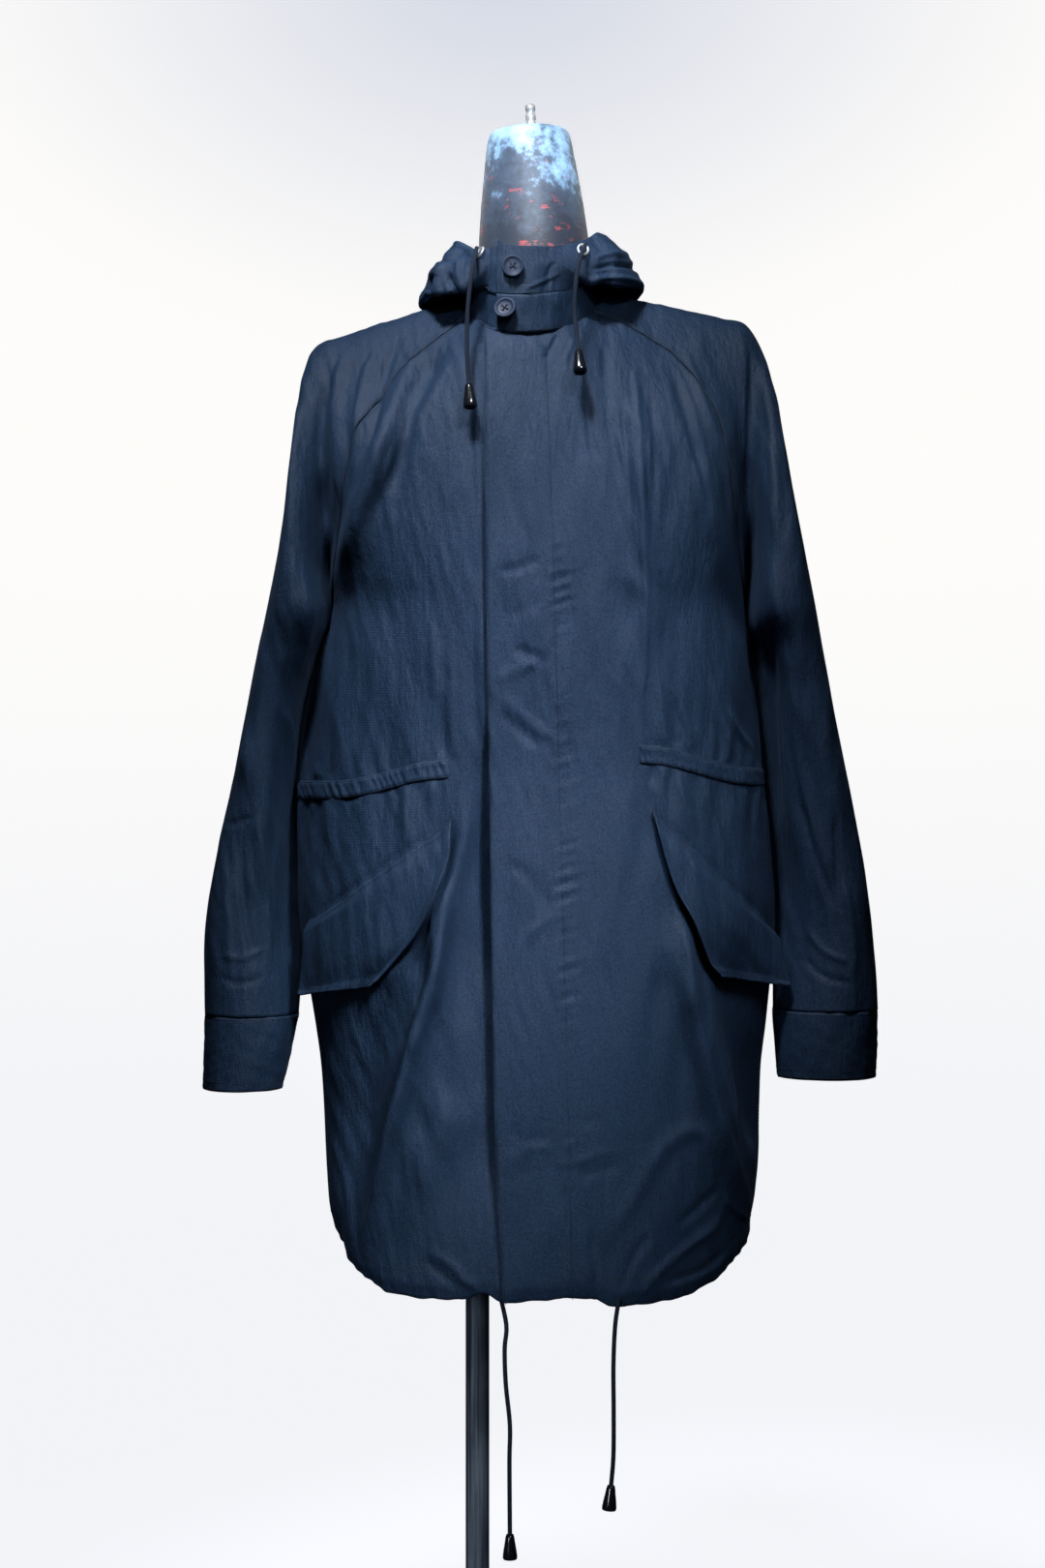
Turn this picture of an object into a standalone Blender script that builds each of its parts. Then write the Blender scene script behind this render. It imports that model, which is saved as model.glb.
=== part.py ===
"""A hooded windbreaker on a limbless dress form with a pole stand.

Metres, +Z up, and the front faces -Y. Left and right are the wearer's, so the left side is
at +X. The stand's pole is on the Z axis. The form and the garment hang a little to its left,
under the empty named figure, and every size below is measured from the figure's own origin.

The garment's surface is one function, cloth(), of a side, a face, a lobe, a share across the
lobe and a level. Levels run from 0 at the neckline over 1 at the armpit to 2 at the hem or
the sleeve's end. The body lobe runs from the middle of the figure to the valley between body
and arm, or below the armpit to the side seam, and the arm lobe from there to the overarm line.
Each panel is a patch of that surface, made into a wall.
"""

import math

import bmesh
import bpy
from mathutils import Vector

LEFT, RIGHT = 1, -1
FRONT, BACK = -1, 1

FIGURE_X = 0.050

WALL = 0.0018
THIN_WALL = 0.0012
SEAM_GAP = 0.0003
LAY_GAP = 0.0014

FRONT_MIDDLE_X = -0.015
FRONT_NECK_Z = 1.388
BACK_NECK_Z = 1.447
ARMPIT_Z = 1.140
HEM_Z = 0.532
SLEEVE_END_Z = {LEFT: 0.7745, RIGHT: 0.7700}
CUFF_END_Z = {LEFT: 0.7130, RIGHT: 0.7025}
ARMPIT_OPENING = 0.0008

CAPE_ROWS, BODY_ROWS, SLEEVE_ROWS = 12, 16, 11
FRONT_COLUMNS, BACK_COLUMNS, SLEEVE_COLUMNS = 14, 22, 9

# Height, depth of the front's middle line, depth of the back's middle line.
MIDDLE_LINES = (
    (0.532, 0.143, 0.143),
    (0.600, 0.143, 0.142),
    (0.750, 0.140, 0.137),
    (0.900, 0.131, 0.127),
    (1.000, 0.124, 0.118),
    (1.100, 0.127, 0.124),
    (1.200, 0.127, 0.129),
    (1.300, 0.119, 0.122),
    (1.360, 0.106, 0.112),
    (1.388, 0.095, 0.103),
    (1.447, 0.070, 0.078),
)

# Level, then the valley's distance from the middle, its height in front and behind, and the
# overarm line's distance from the middle and its height.
CAPE = {
    LEFT: (
        (0.0, 0.056, 1.414, 1.442, 0.0650, 1.4370),
        (0.2, 0.097, 1.394, 1.402, 0.1120, 1.4280),
        (0.4, 0.150, 1.362, 1.362, 0.1720, 1.4150),
        (0.5, 0.177, 1.342, 1.342, 0.2005, 1.4060),
        (0.6, 0.190, 1.314, 1.314, 0.2185, 1.3700),
        (0.7, 0.1935, 1.280, 1.280, 0.2265, 1.3190),
        (0.8, 0.1950, 1.241, 1.241, 0.2365, 1.2670),
        (0.9, 0.1970, 1.194, 1.194, 0.2490, 1.2080),
        (1.0, 0.2000, 1.140, 1.140, 0.2635, 1.1400),
    ),
    RIGHT: (
        (0.0, 0.056, 1.411, 1.438, 0.0650, 1.4330),
        (0.2, 0.097, 1.385, 1.394, 0.1120, 1.4175),
        (0.4, 0.150, 1.350, 1.350, 0.1720, 1.3985),
        (0.5, 0.175, 1.328, 1.328, 0.2005, 1.3870),
        (0.6, 0.185, 1.300, 1.300, 0.2130, 1.3520),
        (0.7, 0.1870, 1.268, 1.268, 0.2165, 1.3030),
        (0.8, 0.1865, 1.231, 1.231, 0.2225, 1.2550),
        (0.9, 0.1860, 1.188, 1.188, 0.2320, 1.2000),
        (1.0, 0.1855, 1.140, 1.140, 0.2450, 1.1400),
    ),
}

# Level, depth of the valley, the angles at which the cloth arrives at it and leaves it, in
# degrees from sideways towards the middle of the figure, and the reach of the arm's curve
# at the valley and at the overarm line.
CAPE_SECTION = (
    (0.0, 0.047, 58, 58, 0.016, 0.018),
    (0.2, 0.052, 58, 62, 0.018, 0.022),
    (0.4, 0.057, 58, 60, 0.020, 0.026),
    (0.5, 0.058, 60, 48, 0.022, 0.032),
    (0.6, 0.056, 64, 10, 0.028, 0.048),
    (0.7, 0.051, 68, -35, 0.046, 0.072),
    (0.8, 0.042, 73, -60, 0.075, 0.092),
    (0.9, 0.026, 79, -74, 0.100, 0.108),
    (1.0, 0.000, 90, -90, 0.120, 0.120),
)

# Height, distance of the side seam from the middle.
SIDE_SEAM = {
    LEFT: (
        (0.532, 0.2030),
        (0.570, 0.2035),
        (0.630, 0.2105),
        (0.720, 0.2140),
        (0.7745, 0.2190),
        (0.8555, 0.2265),
        (0.930, 0.2215),
        (1.000, 0.2140),
        (1.070, 0.2085),
        (1.110, 0.2040),
        (1.140, 0.1992),
    ),
    RIGHT: (
        (0.532, 0.1810),
        (0.570, 0.1855),
        (0.630, 0.1900),
        (0.720, 0.1945),
        (0.7835, 0.2040),
        (0.8465, 0.2150),
        (0.930, 0.2165),
        (1.000, 0.2135),
        (1.070, 0.2040),
        (1.110, 0.1940),
        (1.140, 0.1847),
    ),
}

# Height, distance of the underarm and the overarm line from the middle.
ARM_LINES = {
    LEFT: (
        (0.7130, 0.2275, 0.3168),
        (0.7745, 0.2235, 0.3190),
        (0.8285, 0.2260, 0.3162),
        (0.9005, 0.2265, 0.3080),
        (0.9635, 0.2205, 0.2970),
        (1.0445, 0.2126, 0.2810),
        (1.1100, 0.2055, 0.2690),
        (1.1400, 0.2008, 0.2635),
    ),
    RIGHT: (
        (0.7025, 0.2300, 0.3020),
        (0.7700, 0.2150, 0.3005),
        (0.8465, 0.2145, 0.3012),
        (0.9185, 0.2170, 0.2900),
        (0.9995, 0.2155, 0.2727),
        (1.0700, 0.2057, 0.2595),
        (1.1100, 0.1955, 0.2515),
        (1.1400, 0.1863, 0.2450),
    ),
}

# Height, half the sleeve's depth, how far its middle is in front of the body's, and how far
# its underarm line is behind its own middle.
ARM_SECTION = (
    (0.7000, 0.0480, 0.024, 0.004),
    (0.7700, 0.0520, 0.022, 0.010),
    (0.8500, 0.0630, 0.016, 0.038),
    (0.9500, 0.0740, 0.008, 0.046),
    (1.0500, 0.0830, 0.002, 0.036),
    (1.1050, 0.0872, 0.001, 0.024),
    (1.1400, 0.0900, 0.000, 0.000),
)

# Level, how far across the body lobe the raglan seam lies on the left and on the right.
RAGLAN = (
    (0.00, 1.00, 1.00),
    (0.30, 1.00, 0.90),
    (0.45, 0.87, 0.77),
    (0.60, 0.81, 0.74),
    (0.75, 0.81, 0.77),
    (0.90, 0.88, 0.87),
    (1.00, 1.00, 1.00),
)

CHANNEL_HEIGHT = 0.017
# Side, distance of the channel's front end from the middle, its height there and at the side.
CHANNEL = {LEFT: (0.096, 1.008, 0.988), RIGHT: (0.072, 0.995, 0.976)}
GATHER_PITCH, GATHER_HEIGHT, GATHER_REACH = 0.036, 0.0022, 0.055

# The largest folds: the face and lobe, then the distance from the middle and the height of a
# start, a middle and an end seen from the front, half the width, and the height of the ridge,
# or less than 0 for a trough.
FOLDS = (
    # right chest: drape from the neck to the armpit, and the trough inside it
    (FRONT, "body", -0.085, 1.367, -0.141, 1.251, -0.172, 1.150, 0.022, 0.009),
    (FRONT, "body", -0.074, 1.382, -0.112, 1.315, -0.117, 1.200, 0.018, -0.007),
    # left chest: long upright crease, and drapes towards the armpit
    (FRONT, "body", 0.088, 1.350, 0.100, 1.220, 0.097, 1.030, 0.017, 0.006),
    (FRONT, "body", 0.150, 1.286, 0.160, 1.220, 0.182, 1.150, 0.018, 0.006),
    # right skirt: long diagonal edge, the soft ridge beside it and the hollows on both sides
    (FRONT, "body", -0.078, 0.904, -0.094, 0.800, -0.154, 0.551, 0.026, 0.013),
    (FRONT, "body", -0.051, 0.733, -0.088, 0.662, -0.117, 0.596, 0.020, 0.006),
    (FRONT, "body", -0.056, 0.904, -0.062, 0.836, -0.060, 0.776, 0.018, -0.006),
    (FRONT, "body", -0.135, 0.830, -0.152, 0.740, -0.176, 0.600, 0.026, -0.010),
    # left skirt: long edge and the hollow behind it
    (FRONT, "body", 0.126, 0.876, 0.152, 0.770, 0.190, 0.590, 0.026, 0.013),
    (FRONT, "body", 0.175, 0.860, 0.195, 0.760, 0.208, 0.640, 0.024, -0.010),
    # sleeves in front
    (FRONT, "arm", 0.213, 1.330, 0.218, 1.180, 0.236, 1.060, 0.018, 0.006),
    (FRONT, "arm", 0.236, 1.060, 0.241, 0.980, 0.262, 0.860, 0.018, 0.006),
    (FRONT, "arm", 0.250, 1.020, 0.264, 0.970, 0.284, 0.870, 0.016, -0.006),
    (FRONT, "arm", -0.208, 1.196, -0.212, 1.120, -0.219, 1.065, 0.018, 0.006),
    (FRONT, "arm", -0.248, 1.044, -0.249, 0.950, -0.240, 0.840, 0.018, 0.006),
    (FRONT, "arm", -0.262, 1.010, -0.268, 0.930, -0.262, 0.850, 0.016, -0.005),
    # back: drapes from the shoulder blades, troughs over the waist and flutes in the skirt
    (BACK, "body", 0.080, 1.330, 0.125, 1.240, 0.165, 1.160, 0.024, 0.008),
    (BACK, "body", -0.075, 1.335, -0.118, 1.245, -0.158, 1.155, 0.024, 0.009),
    (BACK, "body", 0.040, 1.200, 0.055, 1.130, 0.100, 1.040, 0.022, -0.006),
    (BACK, "body", -0.045, 1.190, -0.070, 1.120, -0.095, 1.045, 0.022, -0.006),
    (BACK, "body", 0.060, 0.940, 0.085, 0.780, 0.120, 0.560, 0.030, 0.011),
    (BACK, "body", -0.070, 0.940, -0.090, 0.770, -0.130, 0.560, 0.030, 0.012),
    (BACK, "body", 0.010, 0.930, 0.000, 0.760, -0.012, 0.560, 0.028, -0.008),
    (BACK, "body", 0.140, 0.900, 0.160, 0.760, 0.172, 0.600, 0.026, -0.009),
    (BACK, "body", -0.135, 0.880, -0.150, 0.750, -0.158, 0.600, 0.026, -0.009),
    # sleeves behind
    (BACK, "arm", 0.222, 1.290, 0.226, 1.170, 0.244, 1.060, 0.018, 0.006),
    (BACK, "arm", 0.246, 1.030, 0.258, 0.950, 0.272, 0.850, 0.018, 0.006),
    (BACK, "arm", -0.208, 1.280, -0.212, 1.170, -0.228, 1.060, 0.018, 0.006),
    (BACK, "arm", -0.238, 1.040, -0.250, 0.950, -0.262, 0.860, 0.018, 0.006),
)
FOLD_STEPS = 6
FLAT_FACE_SHARE = 0.35

# Height, distance from the middle of the storm fly's free edge and of its sewn edge.
FLY = (
    (0.532, -0.0250, 0.0375),
    (0.676, -0.0320, 0.0340),
    (0.900, -0.0360, 0.0280),
    (1.200, -0.0400, 0.0200),
    (1.388, -0.0400, 0.0135),
)

FLY_TOP_LEVEL = 0.014

# Pocket flaps: distance from the middle and height of the seam's inner and outer end and of
# the outer and inner free corner, then how far the inner edge bows out and the corner lifts.
FLAPS = {
    LEFT: ((0.107, 0.958), (0.221, 0.849), (0.223, 0.799), (0.164, 0.810), 0.008, 0.010),
    RIGHT: ((-0.071, 0.950), (-0.202, 0.858), (-0.203, 0.791), (-0.141, 0.802), 0.021, 0.004),
}

# Past this share of the body's half width a flap stands off the side instead of turning with it.
FLAP_TURN = 0.93

BAND_HEIGHT = 0.031
BAND_OVER, BAND_UNDER = -0.20, -0.10
LAP = 0.0036

# The hood's section in millimetres out from and up from the neckline: position round the neck
# (0 front, 1 side, 2 back), then the seam, the underside, the fold, the outside and the rim.
HOOD = {
    LEFT: (
        (-0.20, 1, 31, 1, 43, 1, 55, 0, 67, -1, 79),
        (0.00, 1, 31, 1, 42, 1, 53, 0, 64, -1, 75),
        (0.35, 1, 31, 2, 43, 4, 54, 2, 64, 0, 72),
        (0.60, 1, 31, 9, 31, 19, 33, 17, 52, 6, 70),
        (0.85, 1, 31, 17, 22, 34, 18, 29, 46, 8, 70),
        (1.00, 1, 31, 22, 14, 40, 0, 29, 24, 9, 46),
        (1.25, 1, 31, 27, 4, 46, -14, 41, 12, 19, 42),
        (1.50, 1, 31, 36, -8, 86, -98, 82, -20, 42, 36),
        (1.75, 1, 31, 42, -32, 94, -155, 104, -62, 57, 29),
        (2.00, 1, 31, 44, -45, 90, -190, 110, -85, 62, 26),
    ),
    RIGHT: (
        (-0.10, 1, 31, 1, 42, 1, 53, 0, 64, -1, 74),
        (0.00, 1, 31, 1, 42, 1, 53, 0, 64, -1, 75),
        (0.35, 1, 31, 2, 43, 4, 54, 2, 63, 0, 71),
        (0.60, 1, 31, 9, 29, 18, 28, 16, 46, 5, 63),
        (0.85, 1, 31, 17, 20, 33, 13, 28, 38, 7, 60),
        (1.00, 1, 31, 21, 12, 38, -5, 30, 20, 9, 45),
        (1.25, 1, 31, 27, 1, 46, -18, 41, 8, 19, 40),
        (1.50, 1, 31, 36, -8, 86, -98, 82, -21, 42, 34),
        (1.75, 1, 31, 42, -32, 94, -155, 104, -62, 57, 28),
        (2.00, 1, 31, 44, -45, 90, -190, 110, -85, 62, 26),
    ),
}
HOOD_COLUMNS, HOOD_ROWS = 15, 11

# Height, half the width and half the depth of the torso.
TORSO = (
    (0.762, 0.140, 0.095),
    (0.800, 0.152, 0.105),
    (0.870, 0.158, 0.110),
    (0.960, 0.146, 0.102),
    (1.060, 0.130, 0.094),
    (1.160, 0.143, 0.104),
    (1.250, 0.158, 0.106),
    (1.320, 0.168, 0.090),
    (1.362, 0.160, 0.068),
    (1.385, 0.142, 0.056),
    (1.400, 0.112, 0.050),
    (1.409, 0.080, 0.048),
)
TORSO_SIDES, TORSO_ROWS, TORSO_ROUNDNESS = 20, 13, 2.3

NECK_LEAN = math.radians(-2.6)
NECK_BASE = Vector((0.0055, -0.008, 1.4120))
# Distance up the neck and its radius.
NECK_PROFILE = (
    (0.0000, 0.0555),
    (0.0300, 0.0535),
    (0.0780, 0.0505),
    (0.1260, 0.0447),
    (0.1600, 0.0397),
    (0.1685, 0.0380),
    (0.1728, 0.0350),
    (0.1743, 0.0310),
)
KNOB_PROFILE = (
    (0.0000, 0.0046),
    (0.0155, 0.0046),
    (0.0163, 0.0037),
    (0.0187, 0.0037),
    (0.0196, 0.0046),
    (0.0232, 0.0046),
    (0.0245, 0.0033),
)
# The pin stands this far to the left of the neck's middle.
KNOB_SHIFT = 0.0025

POLE_RADIUS = 0.011
BASE_RADIUS, BASE_THICKNESS, BASE_ROUND = 0.160, 0.012, 0.004
BASE_HUB_RADIUS, BASE_HUB_HEIGHT = 0.021, 0.030

BUTTON_RADIUS, BUTTON_THICKNESS, BUTTON_RIM = 0.0100, 0.0036, 0.0022
# The lower button tips up on its thread: the rise for each unit of its way out.
BUTTON_TIP = 0.35
EYELET_RADIUS, EYELET_HOLE, EYELET_THICKNESS = 0.0056, 0.0027, 0.0012
# The ring stands this far off the curved cloth under its middle.
EYELET_LIFT = 0.0028
# Each eyelet's place round the neck, and how far it is from the hood's seam towards the rim.
EYELET_SPOTS = {LEFT: (0.52, 0.85), RIGHT: (0.45, 0.88)}

CORD_RADIUS, CORD_STEP = 0.0020, 0.010
# Cord routes in the figure's frame, from where each cord leaves the cloth to its end.
CORDS = {
    "hood_cord_left": (
        (0.0486, -0.0854, 1.4663),
        (0.0425, -0.1010, 1.4480),
        (0.0392, -0.1085, 1.4250),
        (0.0385, -0.1110, 1.4000),
        (0.0400, -0.1160, 1.3800),
        (0.0412, -0.1215, 1.3650),
    ),
    "hood_cord_right": (
        (-0.0491, -0.0857, 1.4630),
        (-0.0520, -0.1010, 1.4450),
        (-0.0555, -0.1080, 1.4180),
        (-0.0572, -0.1130, 1.3920),
        (-0.0572, -0.1200, 1.3620),
        (-0.0555, -0.1250, 1.3350),
    ),
    "hem_cord_left": (
        (0.0770, -0.1330, 0.5290),
        (0.0735, -0.1335, 0.5050),
        (0.0720, -0.1330, 0.4700),
        (0.0722, -0.1325, 0.4300),
        (0.0720, -0.1320, 0.3900),
        (0.0700, -0.1320, 0.3640),
    ),
    "hem_cord_right": (
        (-0.0270, -0.1370, 0.5290),
        (-0.0222, -0.1375, 0.5050),
        (-0.0238, -0.1375, 0.4850),
        (-0.0228, -0.1370, 0.4540),
        (-0.0192, -0.1370, 0.4180),
        (-0.0196, -0.1365, 0.3850),
        (-0.0192, -0.1360, 0.3220),
    ),
}
TIP_PROFILE = (
    (0.0000, 0.0034),
    (0.0030, 0.0042),
    (0.0120, 0.0056),
    (0.0195, 0.0064),
    (0.0220, 0.0058),
)

CLOTH = (0.022, 0.032, 0.055)
TRIM = (0.030, 0.036, 0.052)
BRIGHT_METAL = (0.75, 0.76, 0.78)


def read_table(rows, key):
    """The other columns at key, on a smooth curve through the rows; the first column rises."""
    key = min(max(key, rows[0][0]), rows[-1][0])
    last = len(rows) - 1
    i = max(k for k in range(last) if rows[k][0] <= key)
    before, start, end, after = rows[max(i - 1, 0)], rows[i], rows[i + 1], rows[min(i + 2, last)]
    span = end[0] - start[0]
    u = (key - start[0]) / span
    found = []
    for c in range(1, len(start)):
        slope_in = (end[c] - before[c]) / (end[0] - before[0])
        slope_out = (after[c] - start[c]) / (after[0] - start[0])
        bend_in = start[c] + slope_in * span / 3
        bend_out = end[c] - slope_out * span / 3
        found.append(bezier(start[c], bend_in, bend_out, end[c], u))
    return found


def bezier(a, b, c, d, u):
    v = 1 - u
    return a * (v * v * v) + b * (3 * v * v * u) + c * (3 * v * u * u) + d * (u * u * u)


def ease(u):
    """0 up to 0, 1 from 1 on, and smooth between."""
    u = min(max(u, 0), 1)
    return u * u * (3 - 2 * u)


def level_at(z):
    """The level of a height on the body below the armpit."""
    return 1 + (ARMPIT_Z - z) / (ARMPIT_Z - HEM_Z)


def middle(face, level):
    """The point of the body's middle line at a level."""
    top = FRONT_NECK_Z if face == FRONT else BACK_NECK_Z
    if level <= 1:
        z = top + (ARMPIT_Z - top) * level
    else:
        z = ARMPIT_Z + (HEM_Z - ARMPIT_Z) * (level - 1)
    front, back = read_table(MIDDLE_LINES, z)
    if face == FRONT:
        return Vector((FRONT_MIDDLE_X, -front, z))
    return Vector((0, back, z))


def base_point(side, face, lobe, share, level):
    """The garment's surface without its folds."""
    if level <= 1:
        depth, arrive, leave, reach, over_reach = read_table(CAPE_SECTION, level)
        x, front_z, back_z, over_x, over_z = read_table(CAPE[side], level)
        opening = ARMPIT_OPENING * ease((level - 0.85) / 0.15)
        seam = Vector((side * x, face * depth, front_z if face == FRONT else back_z))
        over = Vector((side * over_x, 0, over_z))
        body_end = seam - Vector((side * opening, 0, 0))
        arm_start = seam + Vector((side * opening, 0, 0))
    else:
        arm_z = ARMPIT_Z + (SLEEVE_END_Z[side] - ARMPIT_Z) * (level - 1)
        half_depth, forward, set_back = read_table(ARM_SECTION, arm_z)
        under_x, over_x = read_table(ARM_LINES[side], arm_z)
        (side_x,) = read_table(SIDE_SEAM[side], ARMPIT_Z + (HEM_Z - ARMPIT_Z) * (level - 1))
        body_end = Vector((side * side_x, 0, middle(face, level).z))
        arm_start = Vector((side * under_x, set_back - forward, arm_z))
        over = Vector((side * over_x, -forward, arm_z))
        arrive, leave, reach, over_reach = 90, -90, half_depth * 4 / 3, half_depth * 4 / 3
    if lobe == "body":
        start = middle(face, level)
        way = heading(side, face, arrive)
        across = abs(body_end.x - start.x) * 0.62
        along = abs(body_end.y - start.y) * 0.62
        place = bezier(
            start, start + Vector((side * across, 0, 0)), body_end - way * along, body_end, share
        )
        rise = 1 - math.cos(share * math.pi / 2)
        place.z = start.z + (body_end.z - start.z) * rise
        return place
    place = bezier(
        arm_start,
        arm_start + heading(side, face, leave) * reach,
        over + Vector((0, face * over_reach, 0)),
        over,
        share,
    )
    place.z = arm_start.z + (over.z - arm_start.z) * math.sin(share * math.pi / 2)
    return place


def heading(side, face, degrees):
    """A level direction: 0 is sideways, away from the middle, and 90 is into the figure."""
    angle = math.radians(degrees)
    return Vector((side * math.cos(angle), -face * math.sin(angle), 0))


def outward(side, face, lobe, share, level):
    """The surface's direction away from the figure."""
    step = 0.004
    low, high = max(share - step, 0), min(share + step, 1)
    across = base_point(side, face, lobe, high, level) - base_point(side, face, lobe, low, level)
    # A level of 1 counts as below the armpit for the part beneath it and above for the cape.
    first, last = (0, 1) if level <= 1 else (1, 2)
    top, bottom = max(level - step, first), min(level + step, last)
    if level > 1:
        top = max(top, 1 + step / 10)
    down = base_point(side, face, lobe, share, bottom) - base_point(side, face, lobe, share, top)
    return (across.cross(down) * (side * face)).normalized()


def from_path(x, z, fold):
    """The distance from a fold's path, and how far along it the nearest point is, 0 to 1."""
    start, mid, end = Vector(fold[2:4]), Vector(fold[4:6]), Vector(fold[6:8])
    bend = mid * 2 - (start + end) / 2
    here = Vector((x, z))
    best, where = 1.0, 0.0
    last = start
    for k in range(1, FOLD_STEPS + 1):
        u = k / FOLD_STEPS
        point = start * (1 - u) ** 2 + bend * (2 * u * (1 - u)) + end * u * u
        stretch = point - last
        share = min(max((here - last).dot(stretch) / stretch.length_squared, 0), 1)
        distance = (here - last - stretch * share).length
        if distance < best:
            best, where = distance, (k - 1 + share) / FOLD_STEPS
        last = point
    return best, where


def channel_z(side, face, x):
    """The height of the waist channel's middle."""
    end_x, end_z, side_z = CHANNEL[side]
    if face == BACK:
        mean = (CHANNEL[LEFT][2] + CHANNEL[RIGHT][2]) / 2
        return mean + (side_z - mean) * ease(abs(x) / 0.2)
    return end_z + (side_z - end_z) * ease((abs(x) - end_x) / 0.105)


def fold_height(side, face, lobe, place):
    """How far the folds raise the cloth at a point of the surface."""
    height = 0.0
    for fold in FOLDS:
        if fold[0] != face or fold[1] != lobe:
            continue
        distance, where = from_path(place.x, place.z, fold)
        if distance < fold[8]:
            ends = ease(where / 0.3) * ease((1 - where) / 0.3)
            height += fold[9] * ends * (0.5 + 0.5 * math.cos(math.pi * distance / fold[8]))
    if lobe == "body":
        above = abs(place.z - channel_z(side, face, place.x)) - CHANNEL_HEIGHT * 0.6
        if 0 < above < GATHER_REACH:
            swell = math.sin(math.pi * above / GATHER_REACH)
            inner = ease((abs(place.x) - 0.05) / 0.04) if face == FRONT else 1
            wave = math.cos(2 * math.pi * place.x / GATHER_PITCH)
            height += GATHER_HEIGHT * swell * inner * wave
    return height


def cloth(side, face, lobe, share, level, out=0.0):
    """A point of the garment's surface with its folds, moved out, and the way outward there."""
    place = base_point(side, face, lobe, share, level)
    way = outward(side, face, lobe, share, level)
    # The outline, the seams at the sides and the arms' edges stay clear of the folds.
    facing = ease(abs(way.y) / FLAT_FACE_SHARE)
    return place + way * (fold_height(side, face, lobe, place) * facing + out), way


def levels(top_rows, bottom_rows):
    """Levels of the rows above the armpit, and of the rows below it."""
    cape = [k / top_rows for k in range(top_rows + 1)]
    return cape + [1 + k / bottom_rows for k in range(1, bottom_rows + 1)]


def seam_share(side, level):
    left, right = read_table(RAGLAN, level)
    return min(left if side == LEFT else right, 1)


def body_row(side, face, level, columns):
    """Points across a body panel, from the middle line to the raglan or side seam."""
    end = seam_share(side, level) if level <= 1 else 1
    return [cloth(side, face, "body", end * k / columns, level) for k in range(columns + 1)]


def arm_row(side, face, level, columns):
    """Points across a sleeve panel, from the raglan or underarm seam to the overarm line."""
    samples = 8
    spots = []
    if level < 1:
        start = seam_share(side, level)
        spots += [("body", start + (1 - start) * k / samples) for k in range(samples)]
    spots += [("arm", k / (2 * samples)) for k in range(2 * samples + 1)]
    places = [base_point(side, face, lobe, share, level) for lobe, share in spots]
    runs = [0.0]
    for a, b in zip(places, places[1:]):
        runs.append(runs[-1] + (b - a).length)
    row = []
    for k in range(columns + 1):
        wanted = runs[-1] * k / columns
        i = min(max(n for n, run in enumerate(runs) if run <= wanted), len(spots) - 2)
        part = (wanted - runs[i]) / max(runs[i + 1] - runs[i], 1e-9)
        lobe = spots[i][0]
        end = spots[i + 1][1] if spots[i + 1][0] == lobe else 1
        row.append(cloth(side, face, lobe, spots[i][1] + (end - spots[i][1]) * part, level))
    return row


def trim(grid, edges):
    """Pulls a panel's named edges back by half the gap of a seam."""
    gap = SEAM_GAP / 2

    def pulled(cell, inner):
        return cell[0] + (inner[0] - cell[0]).normalized() * gap, cell[1]

    if "top" in edges:
        grid[0] = [pulled(a, b) for a, b in zip(grid[0], grid[1])]
    if "bottom" in edges:
        grid[-1] = [pulled(a, b) for a, b in zip(grid[-1], grid[-2])]
    for row in grid:
        if "start" in edges:
            row[0] = pulled(row[0], row[1])
        if "end" in edges:
            row[-1] = pulled(row[-1], row[-2])
    return grid


def material(name, colour, roughness, metallic=0.0):
    made = bpy.data.materials.new(name)
    made.use_nodes = True
    shader = made.node_tree.nodes["Principled BSDF"]
    shader.inputs["Base Color"].default_value = (*colour, 1)
    shader.inputs["Roughness"].default_value = roughness
    shader.inputs["Metallic"].default_value = metallic
    made.diffuse_color = (*colour, 1)
    return made


def add(name, mesh, look, parent):
    """Puts a mesh or curve in the part's collection, under the parent."""
    made = bpy.data.objects.new(name, mesh)
    mesh.materials.append(material(name, *look))
    parts.objects.link(made)
    made.parent = parent
    return made


def wall(name, grid, thickness=WALL, look=(CLOTH, 0.6), closed=False):
    """Makes a cloth wall: the grid's outer points, inner points behind them, and the rims."""
    shape = bmesh.new()
    outer = [[shape.verts.new(place) for place, _ in row] for row in grid]
    inner = [[shape.verts.new(place - way * thickness) for place, way in row] for row in grid]
    rows, columns = len(grid) - 1, len(grid[0]) - 1
    across = [(k, k + 1) for k in range(columns)]
    if closed:
        across.append((columns, 0))
    for i in range(rows):
        for j, n in across:
            shape.faces.new((outer[i][j], outer[i + 1][j], outer[i + 1][n], outer[i][n]))
            shape.faces.new((inner[i][n], inner[i + 1][n], inner[i + 1][j], inner[i][j]))
    for j, n in across:
        shape.faces.new((outer[0][n], inner[0][n], inner[0][j], outer[0][j]))
        shape.faces.new((outer[-1][j], inner[-1][j], inner[-1][n], outer[-1][n]))
    if not closed:
        for i in range(rows):
            shape.faces.new((outer[i][0], inner[i][0], inner[i + 1][0], outer[i + 1][0]))
            shape.faces.new((outer[i + 1][-1], inner[i + 1][-1], inner[i][-1], outer[i][-1]))
    bmesh.ops.recalc_face_normals(shape, faces=shape.faces)
    mesh = bpy.data.meshes.new(name)
    shape.to_mesh(mesh)
    shape.free()
    mesh.shade_smooth()
    mesh.set_sharp_from_angle(angle=math.radians(60))
    return add(name, mesh, look, figure)


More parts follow.
